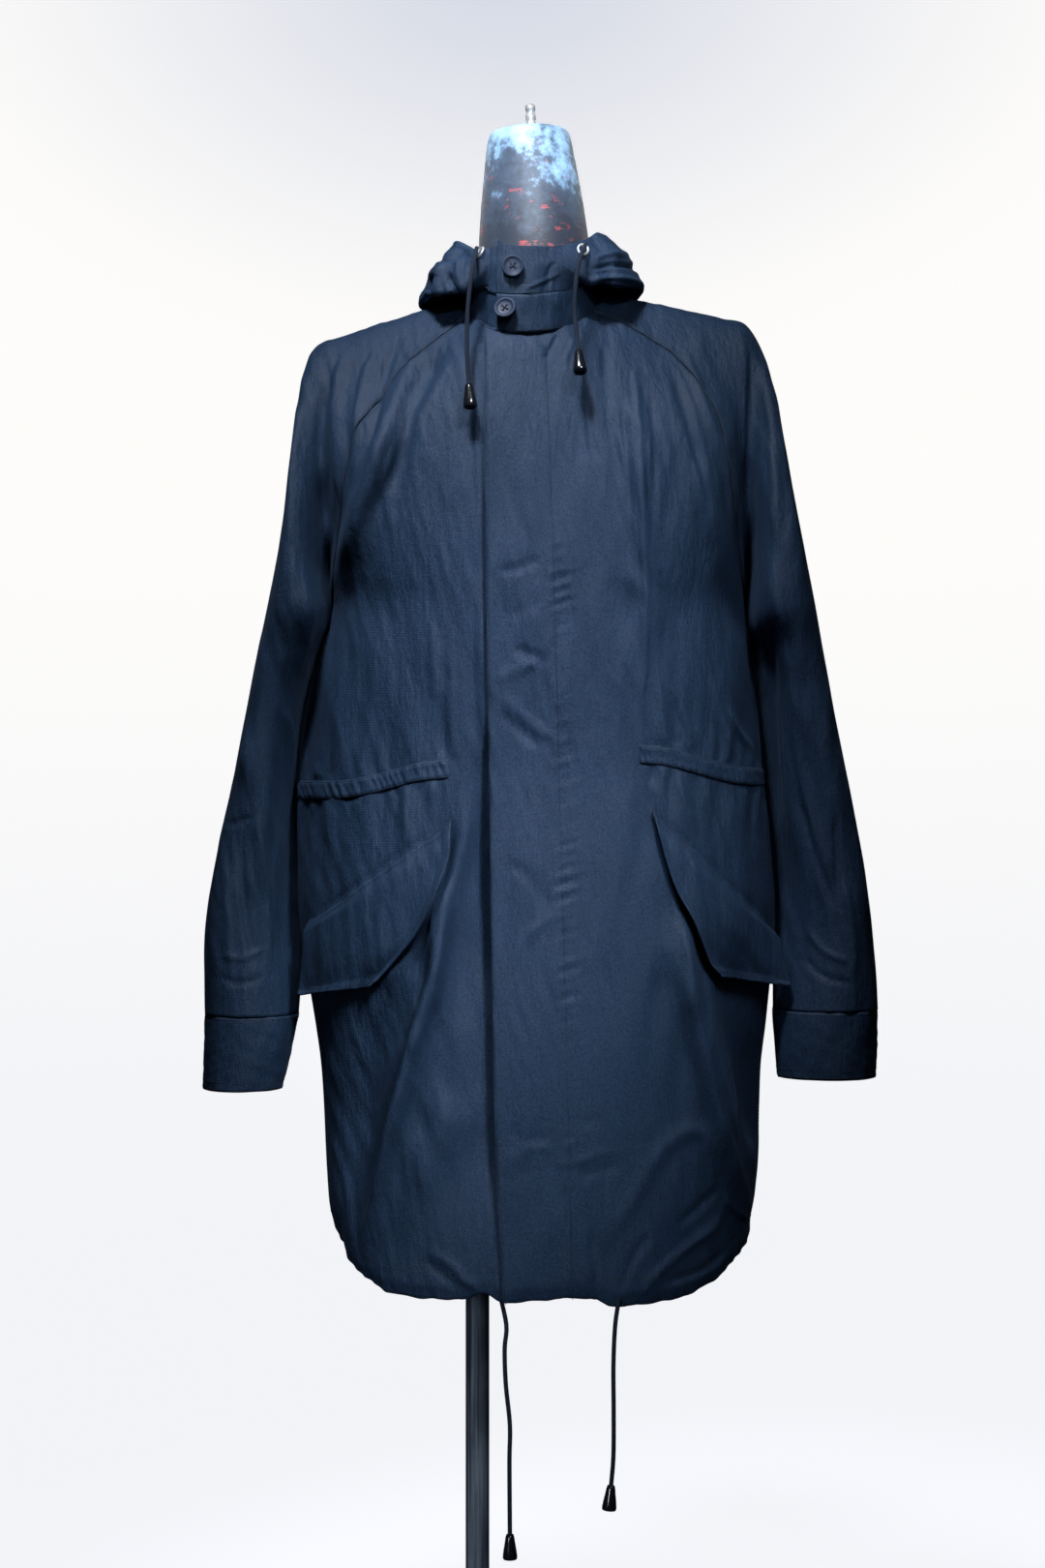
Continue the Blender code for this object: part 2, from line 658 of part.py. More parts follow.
def turned(name, profile, sides, look, parent, place=(0, 0, 0), up=(0, 0, 1), ring=False):
    """Turns a profile of heights and radii, from the bottom up, about an axis that points up.

    A ring's profile is closed in itself, and any other is closed by its flat ends.
    """
    points = [(radius, 0, height) for height, radius in reversed(profile)]
    if not ring:
        points = [(0, 0, points[0][2]), *points, (0, 0, points[-1][2])]
    edges = [(k, k + 1) for k in range(len(points) - 1)]
    if ring:
        edges.append((len(points) - 1, 0))
    mesh = bpy.data.meshes.new(name)
    mesh.from_pydata(points, edges, [])
    made = add(name, mesh, look, parent)
    turn = made.modifiers.new("turn", "SCREW")
    turn.steps = turn.render_steps = sides
    turn.use_merge_vertices = True
    turn.merge_threshold = 0.00001
    made.location = place
    made.rotation_mode = "QUATERNION"
    made.rotation_quaternion = Vector((0, 0, 1)).rotation_difference(Vector(up))
    return made


def make_panels():
    for side, name in ((LEFT, "left"), (RIGHT, "right")):
        rows = [body_row(side, FRONT, n, FRONT_COLUMNS) for n in levels(CAPE_ROWS, BODY_ROWS)]
        wall(f"front_{name}", trim(rows, ("top", "start", "end")))
    rows = []
    for n in levels(CAPE_ROWS, BODY_ROWS):
        half = BACK_COLUMNS // 2
        left = body_row(LEFT, BACK, n, half)
        right = body_row(RIGHT, BACK, n, half)
        rows.append(list(reversed(right)) + left[1:])
    wall("back", trim(rows, ("top", "start", "end")))


def make_sleeves():
    for side, name in ((LEFT, "left"), (RIGHT, "right")):
        for face, part in ((FRONT, "front"), (BACK, "back")):
            rows = [arm_row(side, face, n, SLEEVE_COLUMNS) for n in levels(CAPE_ROWS, SLEEVE_ROWS)]
            wall(f"sleeve_{part}_{name}", trim(rows, ("top", "start", "end", "bottom")))


def cuff_point(side, turn, z, out):
    """A point round a cuff: 0 is the underarm, a quarter the front, a half the overarm."""
    half_depth, forward, set_back = read_table(ARM_SECTION, z)
    under_x, over_x = read_table(ARM_LINES[side], z)
    angle = 2 * math.pi * turn
    half_width = (over_x - under_x) / 2
    way = Vector((-side * math.cos(angle) / half_width, -math.sin(angle) / half_depth, 0))
    x = side * (under_x + half_width * (1 - math.cos(angle)))
    y = set_back * (1 + math.cos(angle)) / 2 - forward - half_depth * math.sin(angle)
    place = Vector((x, y, z))
    way.normalize()
    return place + way * out, way


def make_cuffs():
    """Each cuff is a strip with its front end lapped over its back end near the underarm."""
    columns, rows, lap_start, lap = 26, 2, 0.045, 0.055
    for side, name in ((LEFT, "left"), (RIGHT, "right")):
        top, bottom = SLEEVE_END_Z[side] - SEAM_GAP / 2, CUFF_END_Z[side]
        grid = []
        for i in range(rows + 1):
            z = top + (bottom - top) * i / rows
            row = []
            for j in range(columns + 1):
                along = (1 + lap) * j / columns
                out = 0.0004 + 0.0028 * (1 - ease((along - lap) / 0.10))
                row.append(cuff_point(side, lap_start + along, z, out))
            grid.append(row)
        wall(f"cuff_{name}", grid)


def neckline(side, place):
    """A point of the neckline and the level way outward; 0 is the front, 1 the side, 2 the back."""
    if place < 0:
        return neckline(-side, -place)
    if place > 2:
        return neckline(-side, 4 - place)

    def point(at):
        face, share = (FRONT, at) if at <= 1 else (BACK, 2 - at)
        if share < 0.85:
            return base_point(side, face, "body", share / 0.85, 0)
        return base_point(side, face, "arm", (share - 0.85) / 0.15, 0)

    step = 0.03
    low = point(max(place - step, 0))
    high = point(min(place + step, 2))
    along = high - low
    along.z = 0
    if place < step or place > 2 - step:
        along = Vector((side if place < 1 else -side, 0, 0))
    way = Vector((side * along.y, -side * along.x, 0)).normalized()
    return point(place), way


def lapped(side, place):
    """How far the left side's front end lies over the right's."""
    if side == RIGHT:
        return 0.0
    return LAP * ease((0.42 - place) / 0.28)


def band_point(side, place, up):
    spot, way = neckline(side, place)
    return spot + way * (0.001 * up / BAND_HEIGHT + lapped(side, place)) + Vector((0, 0, up)), way


def make_neckband():
    per_side, rows = 15, 2
    places = [(RIGHT, BAND_UNDER + (2 - BAND_UNDER) * k / per_side) for k in range(per_side)]
    places += [(LEFT, 2 + (BAND_OVER - 2) * k / per_side) for k in range(per_side + 1)]
    grid = []
    for i in range(rows + 1):
        up = SEAM_GAP / 2 + (BAND_HEIGHT - SEAM_GAP) * i / rows
        grid.append([band_point(side, place, up) for side, place in places])
    wall("neckband", grid)


def hood_point(side, place, along, out=0.0):
    """A point of the hood: place goes round the neck, and along runs from the seam to the rim."""
    spot, way = neckline(side, place)
    row = read_table(HOOD[side], place)
    knots = [(k / 4, row[2 * k] / 1000, row[2 * k + 1] / 1000) for k in range(5)]
    away, up = read_table(knots, along)
    step = 0.01
    low_away, low_up = read_table(knots, max(along - step, 0))
    high_away, high_up = read_table(knots, min(along + step, 1))
    slope = way * (high_away - low_away) + Vector((0, 0, high_up - low_up))
    tangent = Vector((-way.y, way.x, 0))
    normal = tangent.cross(slope).normalized()
    return spot + way * (away + lapped(side, place)) + Vector((0, 0, up)) + normal * out, normal


def make_hood():
    for side, name, start in ((LEFT, "left", BAND_OVER), (RIGHT, "right", BAND_UNDER)):
        grid = []
        for i in range(HOOD_ROWS + 1):
            along = i / HOOD_ROWS
            row = []
            for j in range(HOOD_COLUMNS + 1):
                row.append(hood_point(side, start + (2 - start) * j / HOOD_COLUMNS, along))
            grid.append(row)
        wall(f"hood_{name}", trim(grid, ("top", "end")))


def share_at(side, face, level, x):
    """How far across the body lobe a row reaches the distance x from the middle."""
    low, high = 0.0, 1.0
    for _ in range(24):
        half = (low + high) / 2
        if side * (base_point(side, face, "body", half, level).x - x) < 0:
            low = half
        else:
            high = half
    return (low + high) / 2


def front_at(x, level, out):
    side = LEFT if x >= FRONT_MIDDLE_X else RIGHT
    return cloth(side, FRONT, "body", share_at(side, FRONT, level, x), level, out)


def make_fly():
    columns = 4
    grid = []
    for level in [FLY_TOP_LEVEL] + levels(CAPE_ROWS, BODY_ROWS)[1:]:
        z = middle(FRONT, level).z
        free, sewn = read_table(FLY, z)
        out = LAY_GAP + WALL
        row = [front_at(free + (sewn - free) * k / columns, level, out) for k in range(columns + 1)]
        grid.append(row)
    wall("storm_fly", grid)


def make_channels():
    columns, rows = 10, 1
    out = LAY_GAP + THIN_WALL
    for side, name in ((LEFT, "left"), (RIGHT, "right")):
        end_x, end_z, _ = CHANNEL[side]
        start = share_at(side, FRONT, level_at(end_z), side * end_x)
        grid = []
        for i in range(rows + 1):
            drop = CHANNEL_HEIGHT * (i / rows - 0.5)
            row = []
            for j in range(columns + 1):
                share = start + (1 - start) * j / columns
                x = base_point(side, FRONT, "body", share, level_at(end_z)).x
                level = level_at(channel_z(side, FRONT, x) - drop)
                row.append(cloth(side, FRONT, "body", share, level, out))
            grid.append(row)
        wall(f"waist_channel_{name}", trim(grid, ("end",)), THIN_WALL)
    grid = []
    half = 14
    for i in range(rows + 1):
        drop = CHANNEL_HEIGHT * (i / rows - 0.5)
        row = []
        for j in range(2 * half + 1):
            side = LEFT if j >= half else RIGHT
            share = abs(j - half) / half
            x = base_point(side, BACK, "body", share, level_at(1.0)).x
            level = level_at(channel_z(side, BACK, x) - drop)
            row.append(cloth(side, BACK, "body", share, level, out))
        grid.append(row)
    wall("waist_channel_back", trim(grid, ("start", "end")), THIN_WALL)


def make_flaps():
    columns, rows = 7, 4
    for side, name in ((LEFT, "left"), (RIGHT, "right")):
        seam_in, seam_out, free_out, free_in, bow, corner_lift = FLAPS[side]
        grid = []
        for i in range(rows + 1):
            down = i / rows
            row = []
            for j in range(columns + 1):
                u = j / columns
                top = Vector(seam_in).lerp(Vector(seam_out), u)
                bottom = Vector(free_in).lerp(Vector(free_out), u)
                x, z = top.lerp(bottom, down)
                x -= side * bow * 4 * down * (1 - down) * (1 - u)
                level = level_at(z)
                edge = FLAP_TURN * abs(base_point(side, FRONT, "body", 1, level).x)
                share = share_at(side, FRONT, level, side * min(abs(x), edge))
                lift = 0.0006 + 0.003 * down + corner_lift * down * u * u
                place, way = cloth(side, FRONT, "body", share, level, LAY_GAP + WALL + lift)
                beyond = max(abs(x) - edge, 0)
                row.append((place + Vector((side * beyond, beyond / 2, 0)), way))
            grid.append(row)
        wall(f"pocket_flap_{name}", grid)


def make_torso():
    shape = bmesh.new()
    low, high = TORSO[0][0], TORSO[-1][0]
    rings = []
    for i in range(TORSO_ROWS + 1):
        z = low + (high - low) * (i / TORSO_ROWS) ** 0.85
        half_width, half_depth = read_table(TORSO, z)
        ring = []
        for k in range(TORSO_SIDES):
            angle = 2 * math.pi * k / TORSO_SIDES
            c, s = math.cos(angle), math.sin(angle)
            x = half_width * math.copysign(abs(c) ** (2 / TORSO_ROUNDNESS), c)
            y = half_depth * math.copysign(abs(s) ** (2 / TORSO_ROUNDNESS), s)
            ring.append(shape.verts.new((x, y, z)))
        rings.append(ring)
    for a, b in zip(rings, rings[1:]):
        for k in range(TORSO_SIDES):
            n = (k + 1) % TORSO_SIDES
            shape.faces.new((a[k], a[n], b[n], b[k]))
    shape.faces.new(list(reversed(rings[0])))
    shape.faces.new(rings[-1])
    mesh = bpy.data.meshes.new("form_torso")
    shape.to_mesh(mesh)
    shape.free()
    mesh.shade_smooth()
    mesh.set_sharp_from_angle(angle=math.radians(60))
    add("form_torso", mesh, ((0.12, 0.13, 0.15), 0.8), figure)


def make_stand():
    """The neck and its knob lean a little; the pole and the base stand on the world's Z axis."""
    up = Vector((math.sin(NECK_LEAN), 0, math.cos(NECK_LEAN)))
    turned("form_neck", NECK_PROFILE, 24, ((0.25, 0.40, 0.58), 0.6), figure, NECK_BASE, up)
    knob_at = NECK_BASE + up * (NECK_PROFILE[-1][0] + SEAM_GAP) + Vector((KNOB_SHIFT, 0, 0))
    turned("form_knob", KNOB_PROFILE, 12, (BRIGHT_METAL, 0.2, 1.0), figure, knob_at, up)
    hub_top = BASE_THICKNESS + BASE_HUB_HEIGHT
    base = (
        (0, BASE_RADIUS - BASE_ROUND),
        (BASE_ROUND, BASE_RADIUS),
        (BASE_THICKNESS - BASE_ROUND, BASE_RADIUS),
        (BASE_THICKNESS, BASE_RADIUS - BASE_ROUND),
        (BASE_THICKNESS + 0.001, BASE_HUB_RADIUS + 0.002),
        (hub_top - 0.002, BASE_HUB_RADIUS),
        (hub_top, BASE_HUB_RADIUS - 0.002),
    )
    turned("stand_base", base, 32, ((0.03, 0.03, 0.035), 0.5, 0.6), None)
    pole = ((hub_top + SEAM_GAP, POLE_RADIUS), (TORSO[0][0] - SEAM_GAP, POLE_RADIUS))
    turned("stand_pole", pole, 24, ((0.03, 0.03, 0.035), 0.45, 0.6), None)


def make_buttons():
    """Two rimmed coat buttons on the lapped collar."""
    profile = (
        (0, BUTTON_RADIUS - 0.002),
        (BUTTON_THICKNESS * 0.5, BUTTON_RADIUS),
        (BUTTON_THICKNESS, BUTTON_RADIUS - 0.0008),
        (BUTTON_THICKNESS, BUTTON_RADIUS - BUTTON_RIM),
        (BUTTON_THICKNESS * 0.7, BUTTON_RADIUS - BUTTON_RIM - 0.001),
    )
    top, top_way = hood_point(LEFT, -0.02, 0.55)
    bottom, bottom_way = band_point(LEFT, -0.085, 0.016)
    bottom_way = (bottom_way + Vector((0, 0, BUTTON_TIP))).normalized()
    for name, place, way, lift in (
        ("top", top, top_way, 0.0010),
        ("bottom", bottom, bottom_way, 0.0034),
    ):
        at = place + way * lift
        turned(f"collar_button_{name}", profile, 20, (TRIM, 0.35), figure, at, way)


def make_eyelets():
    """Metal rings on the hood's throat, where its drawcord comes out."""
    section = (
        (0, EYELET_HOLE),
        (0, EYELET_RADIUS),
        (EYELET_THICKNESS * 0.5, EYELET_RADIUS),
        (EYELET_THICKNESS, (EYELET_RADIUS + EYELET_HOLE) / 2),
        (EYELET_THICKNESS * 0.6, EYELET_HOLE),
    )
    metal = (BRIGHT_METAL, 0.2, 1.0)
    for side, name in ((LEFT, "left"), (RIGHT, "right")):
        place, along = EYELET_SPOTS[side]
        spot, way = hood_point(side, place, along)
        spot += way * EYELET_LIFT
        turned(f"eyelet_{name}", section, 16, metal, figure, spot, way, ring=True)


def smooth_route(points, step):
    """Points every step along a smooth curve through the route's own points."""
    fine = []
    last = len(points) - 1
    for i in range(last):
        before, start = Vector(points[max(i - 1, 0)]), Vector(points[i])
        end, after = Vector(points[i + 1]), Vector(points[min(i + 2, last)])
        for k in range(12):
            u = k / 12
            fine.append(
                bezier(start, start + (end - before) / 6, end - (after - start) / 6, end, u)
            )
    fine.append(Vector(points[-1]))
    runs = [0.0]
    for a, b in zip(fine, fine[1:]):
        runs.append(runs[-1] + (b - a).length)
    count = max(round(runs[-1] / step), 2)
    route = []
    for k in range(count + 1):
        wanted = runs[-1] * k / count
        i = min(max(n for n, run in enumerate(runs) if run <= wanted), len(fine) - 2)
        part = (wanted - runs[i]) / max(runs[i + 1] - runs[i], 1e-9)
        route.append(fine[i].lerp(fine[i + 1], part))
    return route


def make_cords():
    for name, points in CORDS.items():
        route = smooth_route(points, CORD_STEP)
        curve = bpy.data.curves.new(name, "CURVE")
        curve.dimensions = "3D"
        curve.bevel_depth = CORD_RADIUS
        curve.bevel_resolution = 2
        curve.use_fill_caps = True
        line = curve.splines.new("POLY")
        line.points.add(len(route) - 1)
        for point, place in zip(line.points, route):
            point.co = (*place, 1)
        add(name, curve, (TRIM, 0.7), figure)
        way = (route[-1] - route[-2]).normalized()
        tip = turned(
            name.replace("cord", "cord_end"), TIP_PROFILE, 12, (TRIM, 0.2), figure,
            route[-1] + way * SEAM_GAP, way,
        )
        tip.data.name = tip.name


for old in list(bpy.data.objects):
    bpy.data.objects.remove(old)

parts = bpy.data.collections.new("windbreaker")
bpy.context.scene.collection.children.link(parts)
figure = bpy.data.objects.new("figure", None)
parts.objects.link(figure)
figure.location = (FIGURE_X, 0, 0)

make_panels()
make_sleeves()
make_cuffs()
make_neckband()
make_hood()
make_fly()
make_channels()
make_flaps()
make_torso()
make_stand()
make_buttons()
make_eyelets()
make_cords()
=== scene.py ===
"""A hooded windbreaker on a limbless dress form with a pole stand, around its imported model."""

import math

import bmesh
import bpy
import numpy as np
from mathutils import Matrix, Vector


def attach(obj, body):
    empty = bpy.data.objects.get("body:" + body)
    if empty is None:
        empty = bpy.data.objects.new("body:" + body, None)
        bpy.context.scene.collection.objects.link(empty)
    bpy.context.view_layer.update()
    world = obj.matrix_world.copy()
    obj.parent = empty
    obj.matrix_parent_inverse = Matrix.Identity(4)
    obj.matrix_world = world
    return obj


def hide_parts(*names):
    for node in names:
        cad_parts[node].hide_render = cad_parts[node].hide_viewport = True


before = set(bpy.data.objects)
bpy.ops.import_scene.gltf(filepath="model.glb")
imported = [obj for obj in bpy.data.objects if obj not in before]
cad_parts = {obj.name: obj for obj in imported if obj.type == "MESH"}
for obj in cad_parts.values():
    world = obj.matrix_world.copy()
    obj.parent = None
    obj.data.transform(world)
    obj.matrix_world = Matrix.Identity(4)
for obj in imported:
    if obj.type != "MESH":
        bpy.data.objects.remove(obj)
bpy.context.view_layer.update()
scene = bpy.context.scene

# The camera looks level at the garment from in front, 2.5 m from the form's middle. The
# garment hangs a little to the left of the pole, so the view is centred between the two.
VIEW_DISTANCE = 2.5
VIEW_HEIGHT = 1.458
VIEW_CENTRE = (0.0419, 0.9815)
SENSOR_HEIGHT = 36
scene.view_settings.view_transform = "Standard"
camera_data = bpy.data.cameras.new("camera")
camera_data.sensor_fit = "VERTICAL"
camera_data.sensor_height = SENSOR_HEIGHT
camera_data.lens = SENSOR_HEIGHT * VIEW_DISTANCE / VIEW_HEIGHT
camera = bpy.data.objects.new("camera", camera_data)
camera.location = (VIEW_CENTRE[0], -VIEW_DISTANCE, VIEW_CENTRE[1])
camera.rotation_euler = (math.radians(90), 0, 0)
scene.collection.objects.link(camera)
scene.camera = camera


# Four drawcords hang free: two from the eyelets of the hood and two from the hem's tunnel.
# Each is a round braided cord of 4 mm, cut to its length and pushed into its cord end.
CORD_DIAMETER = 0.004
CORD_SIDES = 12
CORD_POINT_GAP = 0.0056
YARN_WAVES = 4200
# The garment's middle, beside the pole's axis: the cords' points are measured from it.
FIGURE = Vector((0.050, 0, 0))
CORDS = {
    "hood_cord_left": (
        (0.0486, -0.0854, 1.4663),
        (0.0425, -0.1010, 1.4480),
        (0.0392, -0.1085, 1.4250),
        (0.0385, -0.1110, 1.4000),
        (0.0400, -0.1160, 1.3800),
        (0.0412, -0.1215, 1.3650),
    ),
    "hood_cord_right": (
        (-0.0491, -0.0857, 1.4630),
        (-0.0520, -0.1010, 1.4450),
        (-0.0555, -0.1080, 1.4180),
        (-0.0572, -0.1130, 1.3920),
        (-0.0572, -0.1200, 1.3620),
        (-0.0555, -0.1250, 1.3350),
    ),
    "hem_cord_left": (
        (0.0770, -0.1330, 0.5290),
        (0.0735, -0.1335, 0.5050),
        (0.0720, -0.1330, 0.4700),
        (0.0722, -0.1325, 0.4300),
        (0.0720, -0.1320, 0.3900),
        (0.0700, -0.1320, 0.3640),
    ),
    "hem_cord_right": (
        (-0.0270, -0.1370, 0.5290),
        (-0.0222, -0.1375, 0.5050),
        (-0.0238, -0.1375, 0.4850),
        (-0.0228, -0.1370, 0.4540),
        (-0.0192, -0.1370, 0.4180),
        (-0.0196, -0.1365, 0.3850),
        (-0.0192, -0.1360, 0.3220),
    ),
}


def between(points, counts):
    """So many points, counts, on a smooth curve through an array's first axis."""
    last = len(points) - 1
    at = np.linspace(0, last, counts)
    i = np.minimum(at.astype(int), last - 1)
    u = (at - i).reshape((-1,) + (1,) * (points.ndim - 1))
    before = 2 * points[:1] - points[1:2]
    after = 2 * points[-1:] - points[-2:-1]
    p = np.concatenate([before, points, after])
    a, b, c, d = p[i], p[i + 1], p[i + 2], p[i + 3]
    bend = (2 * a - 5 * b + 4 * c - d) * u**2 + (3 * b - 3 * c + d - a) * u**3
    return b + ((c - a) * u + bend) / 2


FINE_STEPS = 40


def run_along(line):
    """How far along a line of points each of them lies."""
    return np.concatenate([[0], np.cumsum(np.linalg.norm(np.diff(line, axis=0), axis=1))])


def even_path(points, gap):
    """A smooth curve through the points, read off every gap of its length."""
    fine = between(np.array(points, float), FINE_STEPS * len(points))
    runs = run_along(fine)
    wanted = np.linspace(0, runs[-1], max(int(round(runs[-1] / gap)), 2) + 1)
    return np.stack([np.interp(wanted, runs, fine[:, k]) for k in range(3)], axis=1), runs[-1]


class Socket:
    """A socket of a material's nodes. An expression on it adds its Math nodes."""

    def __init__(self, tree, socket):
        self.tree = tree
        self.socket = socket

    def node(self, kind, settings=(), out=0, **values):
        """Adds a node of a kind, sets its settings, then fills its sockets by name."""
        made = self.tree.nodes.new(kind)
        for name, value in dict(settings).items():
            if name == "stops":
                while len(made.color_ramp.elements) < len(value):
                    made.color_ramp.elements.new(1)
                for stop, (place, shade) in zip(made.color_ramp.elements, value):
                    stop.position = place
                    stop.color = (*shade, 1)
            else:
                setattr(made, name, value)
        for name, value in values.items():
            numbered = name[0] == "n" and name[1:].isdigit()
            target = made.inputs[int(name[1:]) if numbered else name.replace("_", " ")]
            if isinstance(value, Socket):
                self.tree.links.new(value.socket, target)
            else:
                target.default_value = value
        return Socket(self.tree, made.outputs[out])

    def maths(self, operation, *others):
        values = {f"n{k}": value for k, value in enumerate((self, *others))}
        return self.node("ShaderNodeMath", {"operation": operation}, **values)

    def __add__(self, other):
        return self.maths("ADD", other)

    __radd__ = __add__

    def __mul__(self, other):
        return self.maths("MULTIPLY", other)

    __rmul__ = __mul__

    def __sub__(self, other):
        return self.maths("SUBTRACT", other)

    def __rsub__(self, other):
        return (self * -1) + other

    def blend(self, low, high):
        """A colour from low to high as this socket runs from 0 to 1."""
        low, high = (end if isinstance(end, Socket) else (*end, 1) for end in (low, high))
        return self.node("ShaderNodeMix", {"data_type": "RGBA"}, out=2, n0=self, n6=low, n7=high)

    def noise(self, scale, detail, **more):
        """Uneven noise over this vector."""
        return self.node("ShaderNodeTexNoise", Vector=self, Scale=scale, Detail=detail, **more)

    def scaled(self, x, y, z, **more):
        """This vector with each axis scaled."""
        return self.node("ShaderNodeMapping", Vector=self, Scale=(x, y, z), **more)

    def axis(self, k):
        """One axis of this vector: 0, 1 or 2."""
        return self.node("ShaderNodeSeparateXYZ", out=k, n0=self)

    def share(self, low, high, settings=()):
        """From 0 to 1 as this socket runs from low to high."""
        return self.node("ShaderNodeMapRange", settings, n0=self, n1=low, n2=high)


def finish(name, **constants):
    """A Principled material with its constants set, its shader, and its coordinates: those of
    the object and those of the piece's own cut map."""
    made = bpy.data.materials.new(name)
    made.use_nodes = True
    tree = made.node_tree
    shader = tree.nodes["Principled BSDF"]
    for key, value in constants.items():
        shader.inputs[key.replace("_", " ")].default_value = value
    coordinates = tree.nodes.new("ShaderNodeTexCoord").outputs
    return made, shader, Socket(tree, coordinates["Object"]), Socket(tree, coordinates["UV"])


def feed(shader, name, value):
    value.tree.links.new(value.socket, shader.inputs[name])


def emboss(shader, height, strength, distance, **more):
    """Raises a surface by a height, in a Bump node."""
    values = {"Strength": strength, "Distance": distance, "Height": height, **more}
    feed(shader, "Normal", height.node("ShaderNodeBump", **values))


def tube(name, path, radius, sides, look):
    """A mesh tube along a path, with a cut map of metres round and along it."""
    path = np.asarray(path)
    ways = np.gradient(path, axis=0)
    ways /= np.linalg.norm(ways, axis=1)[:, None]
    side = np.cross(ways, (0.0, 1.0, 0.05))
    side /= np.linalg.norm(side, axis=1)[:, None]
    front = np.cross(ways, side)
    turn = np.linspace(0, 2 * math.pi, sides, endpoint=False)
    ring = side[:, None] * np.cos(turn)[:, None] + front[:, None] * np.sin(turn)[:, None]
    shape = bmesh.new()
    rings = [[shape.verts.new(p) for p in row] for row in path[:, None] + ring * radius]
    runs = run_along(path)
    cut = shape.loops.layers.uv.new("cut")
    for i in range(len(rings) - 1):
        for k in range(sides):
            n = (k + 1) % sides
            face = shape.faces.new((rings[i][k], rings[i + 1][k], rings[i + 1][n], rings[i][n]))
            spots = ((k, i), (k, i + 1), (k + 1, i + 1), (k + 1, i))
            for loop, (round_at, along_at) in zip(face.loops, spots):
                loop[cut].uv = (2 * math.pi * radius * round_at / sides, runs[along_at])
    shape.faces.new(rings[0])
    shape.faces.new(list(reversed(rings[-1])))
    bmesh.ops.recalc_face_normals(shape, faces=shape.faces)
    return piece(name, shape, look)


def piece(name, shape, look, smooth=60):
    """Puts a finished bmesh into the scene as a piece that rides on the one body."""
    mesh = bpy.data.meshes.new(name)
    shape.to_mesh(mesh)
    shape.free()
    mesh.materials.append(look)
    mesh.shade_smooth()
    mesh.set_sharp_from_angle(angle=math.radians(smooth))
    made = bpy.data.objects.new(name, mesh)
    scene.collection.objects.link(made)
    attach(made, "root")
    return made


def braid(name):
    """Dark navy braid: two sets of yarns that cross at a slant round the cord."""
    made, shader, _, cut = finish(name, Roughness=0.8, Sheen_Weight=0.03, Specular_IOR_Level=0.12)
    across, along = cut.axis(0), cut.axis(1)
    one = ((across + along) * YARN_WAVES).maths("SINE")
    other = ((across - along) * YARN_WAVES).maths("SINE")
    weave = one.maths("MAXIMUM", other)
    shade = (weave * 0.5 + 0.5).blend((0.004, 0.007, 0.016), (0.018, 0.028, 0.050))
    feed(shader, "Base Color", shade)
    emboss(shader, weave, 0.5, 0.0004)
    return made


# Each cord end is a glossy bell of dark moulded plastic, hollow below. Its narrow neck grips
# the cord, whose knot is hidden inside it.
END_PROFILE = (
    (0.0000, 0.0026),
    (0.0003, 0.0033),
    (0.0030, 0.0040),
    (0.0080, 0.0047),
    (0.0130, 0.0056),
    (0.0180, 0.0063),
    (0.0205, 0.0064),
    (0.0217, 0.0060),
    (0.0220, 0.0050),
    (0.0216, 0.0046),
    (0.0200, 0.0042),
)


def turned(name, profile, sides, look, foot, up, ring=False):
    """Turns a profile of heights and radii round a foot point and a direction."""
    shape = bmesh.new()
    tilt = Vector((0, 0, 1)).rotation_difference(Vector(up)).to_matrix()
    rings = []
    for height, radius in profile:
        turn = [2 * math.pi * k / sides for k in range(sides)]
        spots = [Vector((radius * math.cos(a), radius * math.sin(a), height)) for a in turn]
        rings.append([shape.verts.new(Vector(foot) + tilt @ spot) for spot in spots])
    pairs = list(zip(rings, rings[1:]))
    if ring:
        pairs.append((rings[-1], rings[0]))
    for low, high in pairs:
        for k in range(sides):
            n = (k + 1) % sides
            shape.faces.new((low[k], low[n], high[n], high[k]))
    if not ring:
        shape.faces.new(list(reversed(rings[0])))
        shape.faces.new(rings[-1])
    bmesh.ops.recalc_face_normals(shape, faces=shape.faces)
    return piece(name, shape, look)


def moulded(name, colour, roughness, coat, specular):
    """Moulded plastic with a faint unevenness in its gloss."""
    made, shader, place, _ = finish(
        name, Coat_Weight=coat, Coat_Roughness=0.08, Specular_IOR_Level=specular
    )
    mottle = place.noise(900.0, 3.0)
    feed(shader, "Roughness", mottle * 0.15 + (roughness - 0.07))
    feed(shader, "Base Color", mottle.blend(colour, tuple(c * 1.5 for c in colour)))
    emboss(shader, mottle, 0.08, 0.0002)
    return made


cord_look = braid("braided_cord")
end_look = moulded("cord_end_plastic", (0.006, 0.007, 0.010), 0.16, 0.6, 0.5)
END_SIDES = 40
END_GAP = 0.0002
for name, spots in CORDS.items():
    path, length = even_path([FIGURE + Vector(spot) for spot in spots], CORD_POINT_GAP)
    cord = tube(name + "_braid", path, CORD_DIAMETER / 2, CORD_SIDES, cord_look)
    way = path[-1] - path[-2]
    way /= np.linalg.norm(way)
    bell = name.replace("cord", "cord_bell")
    end = turned(bell, END_PROFILE, END_SIDES, end_look, path[-1] + way * END_GAP, way)
    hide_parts(name.replace("cord", "cord_end"))
    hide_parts(name)


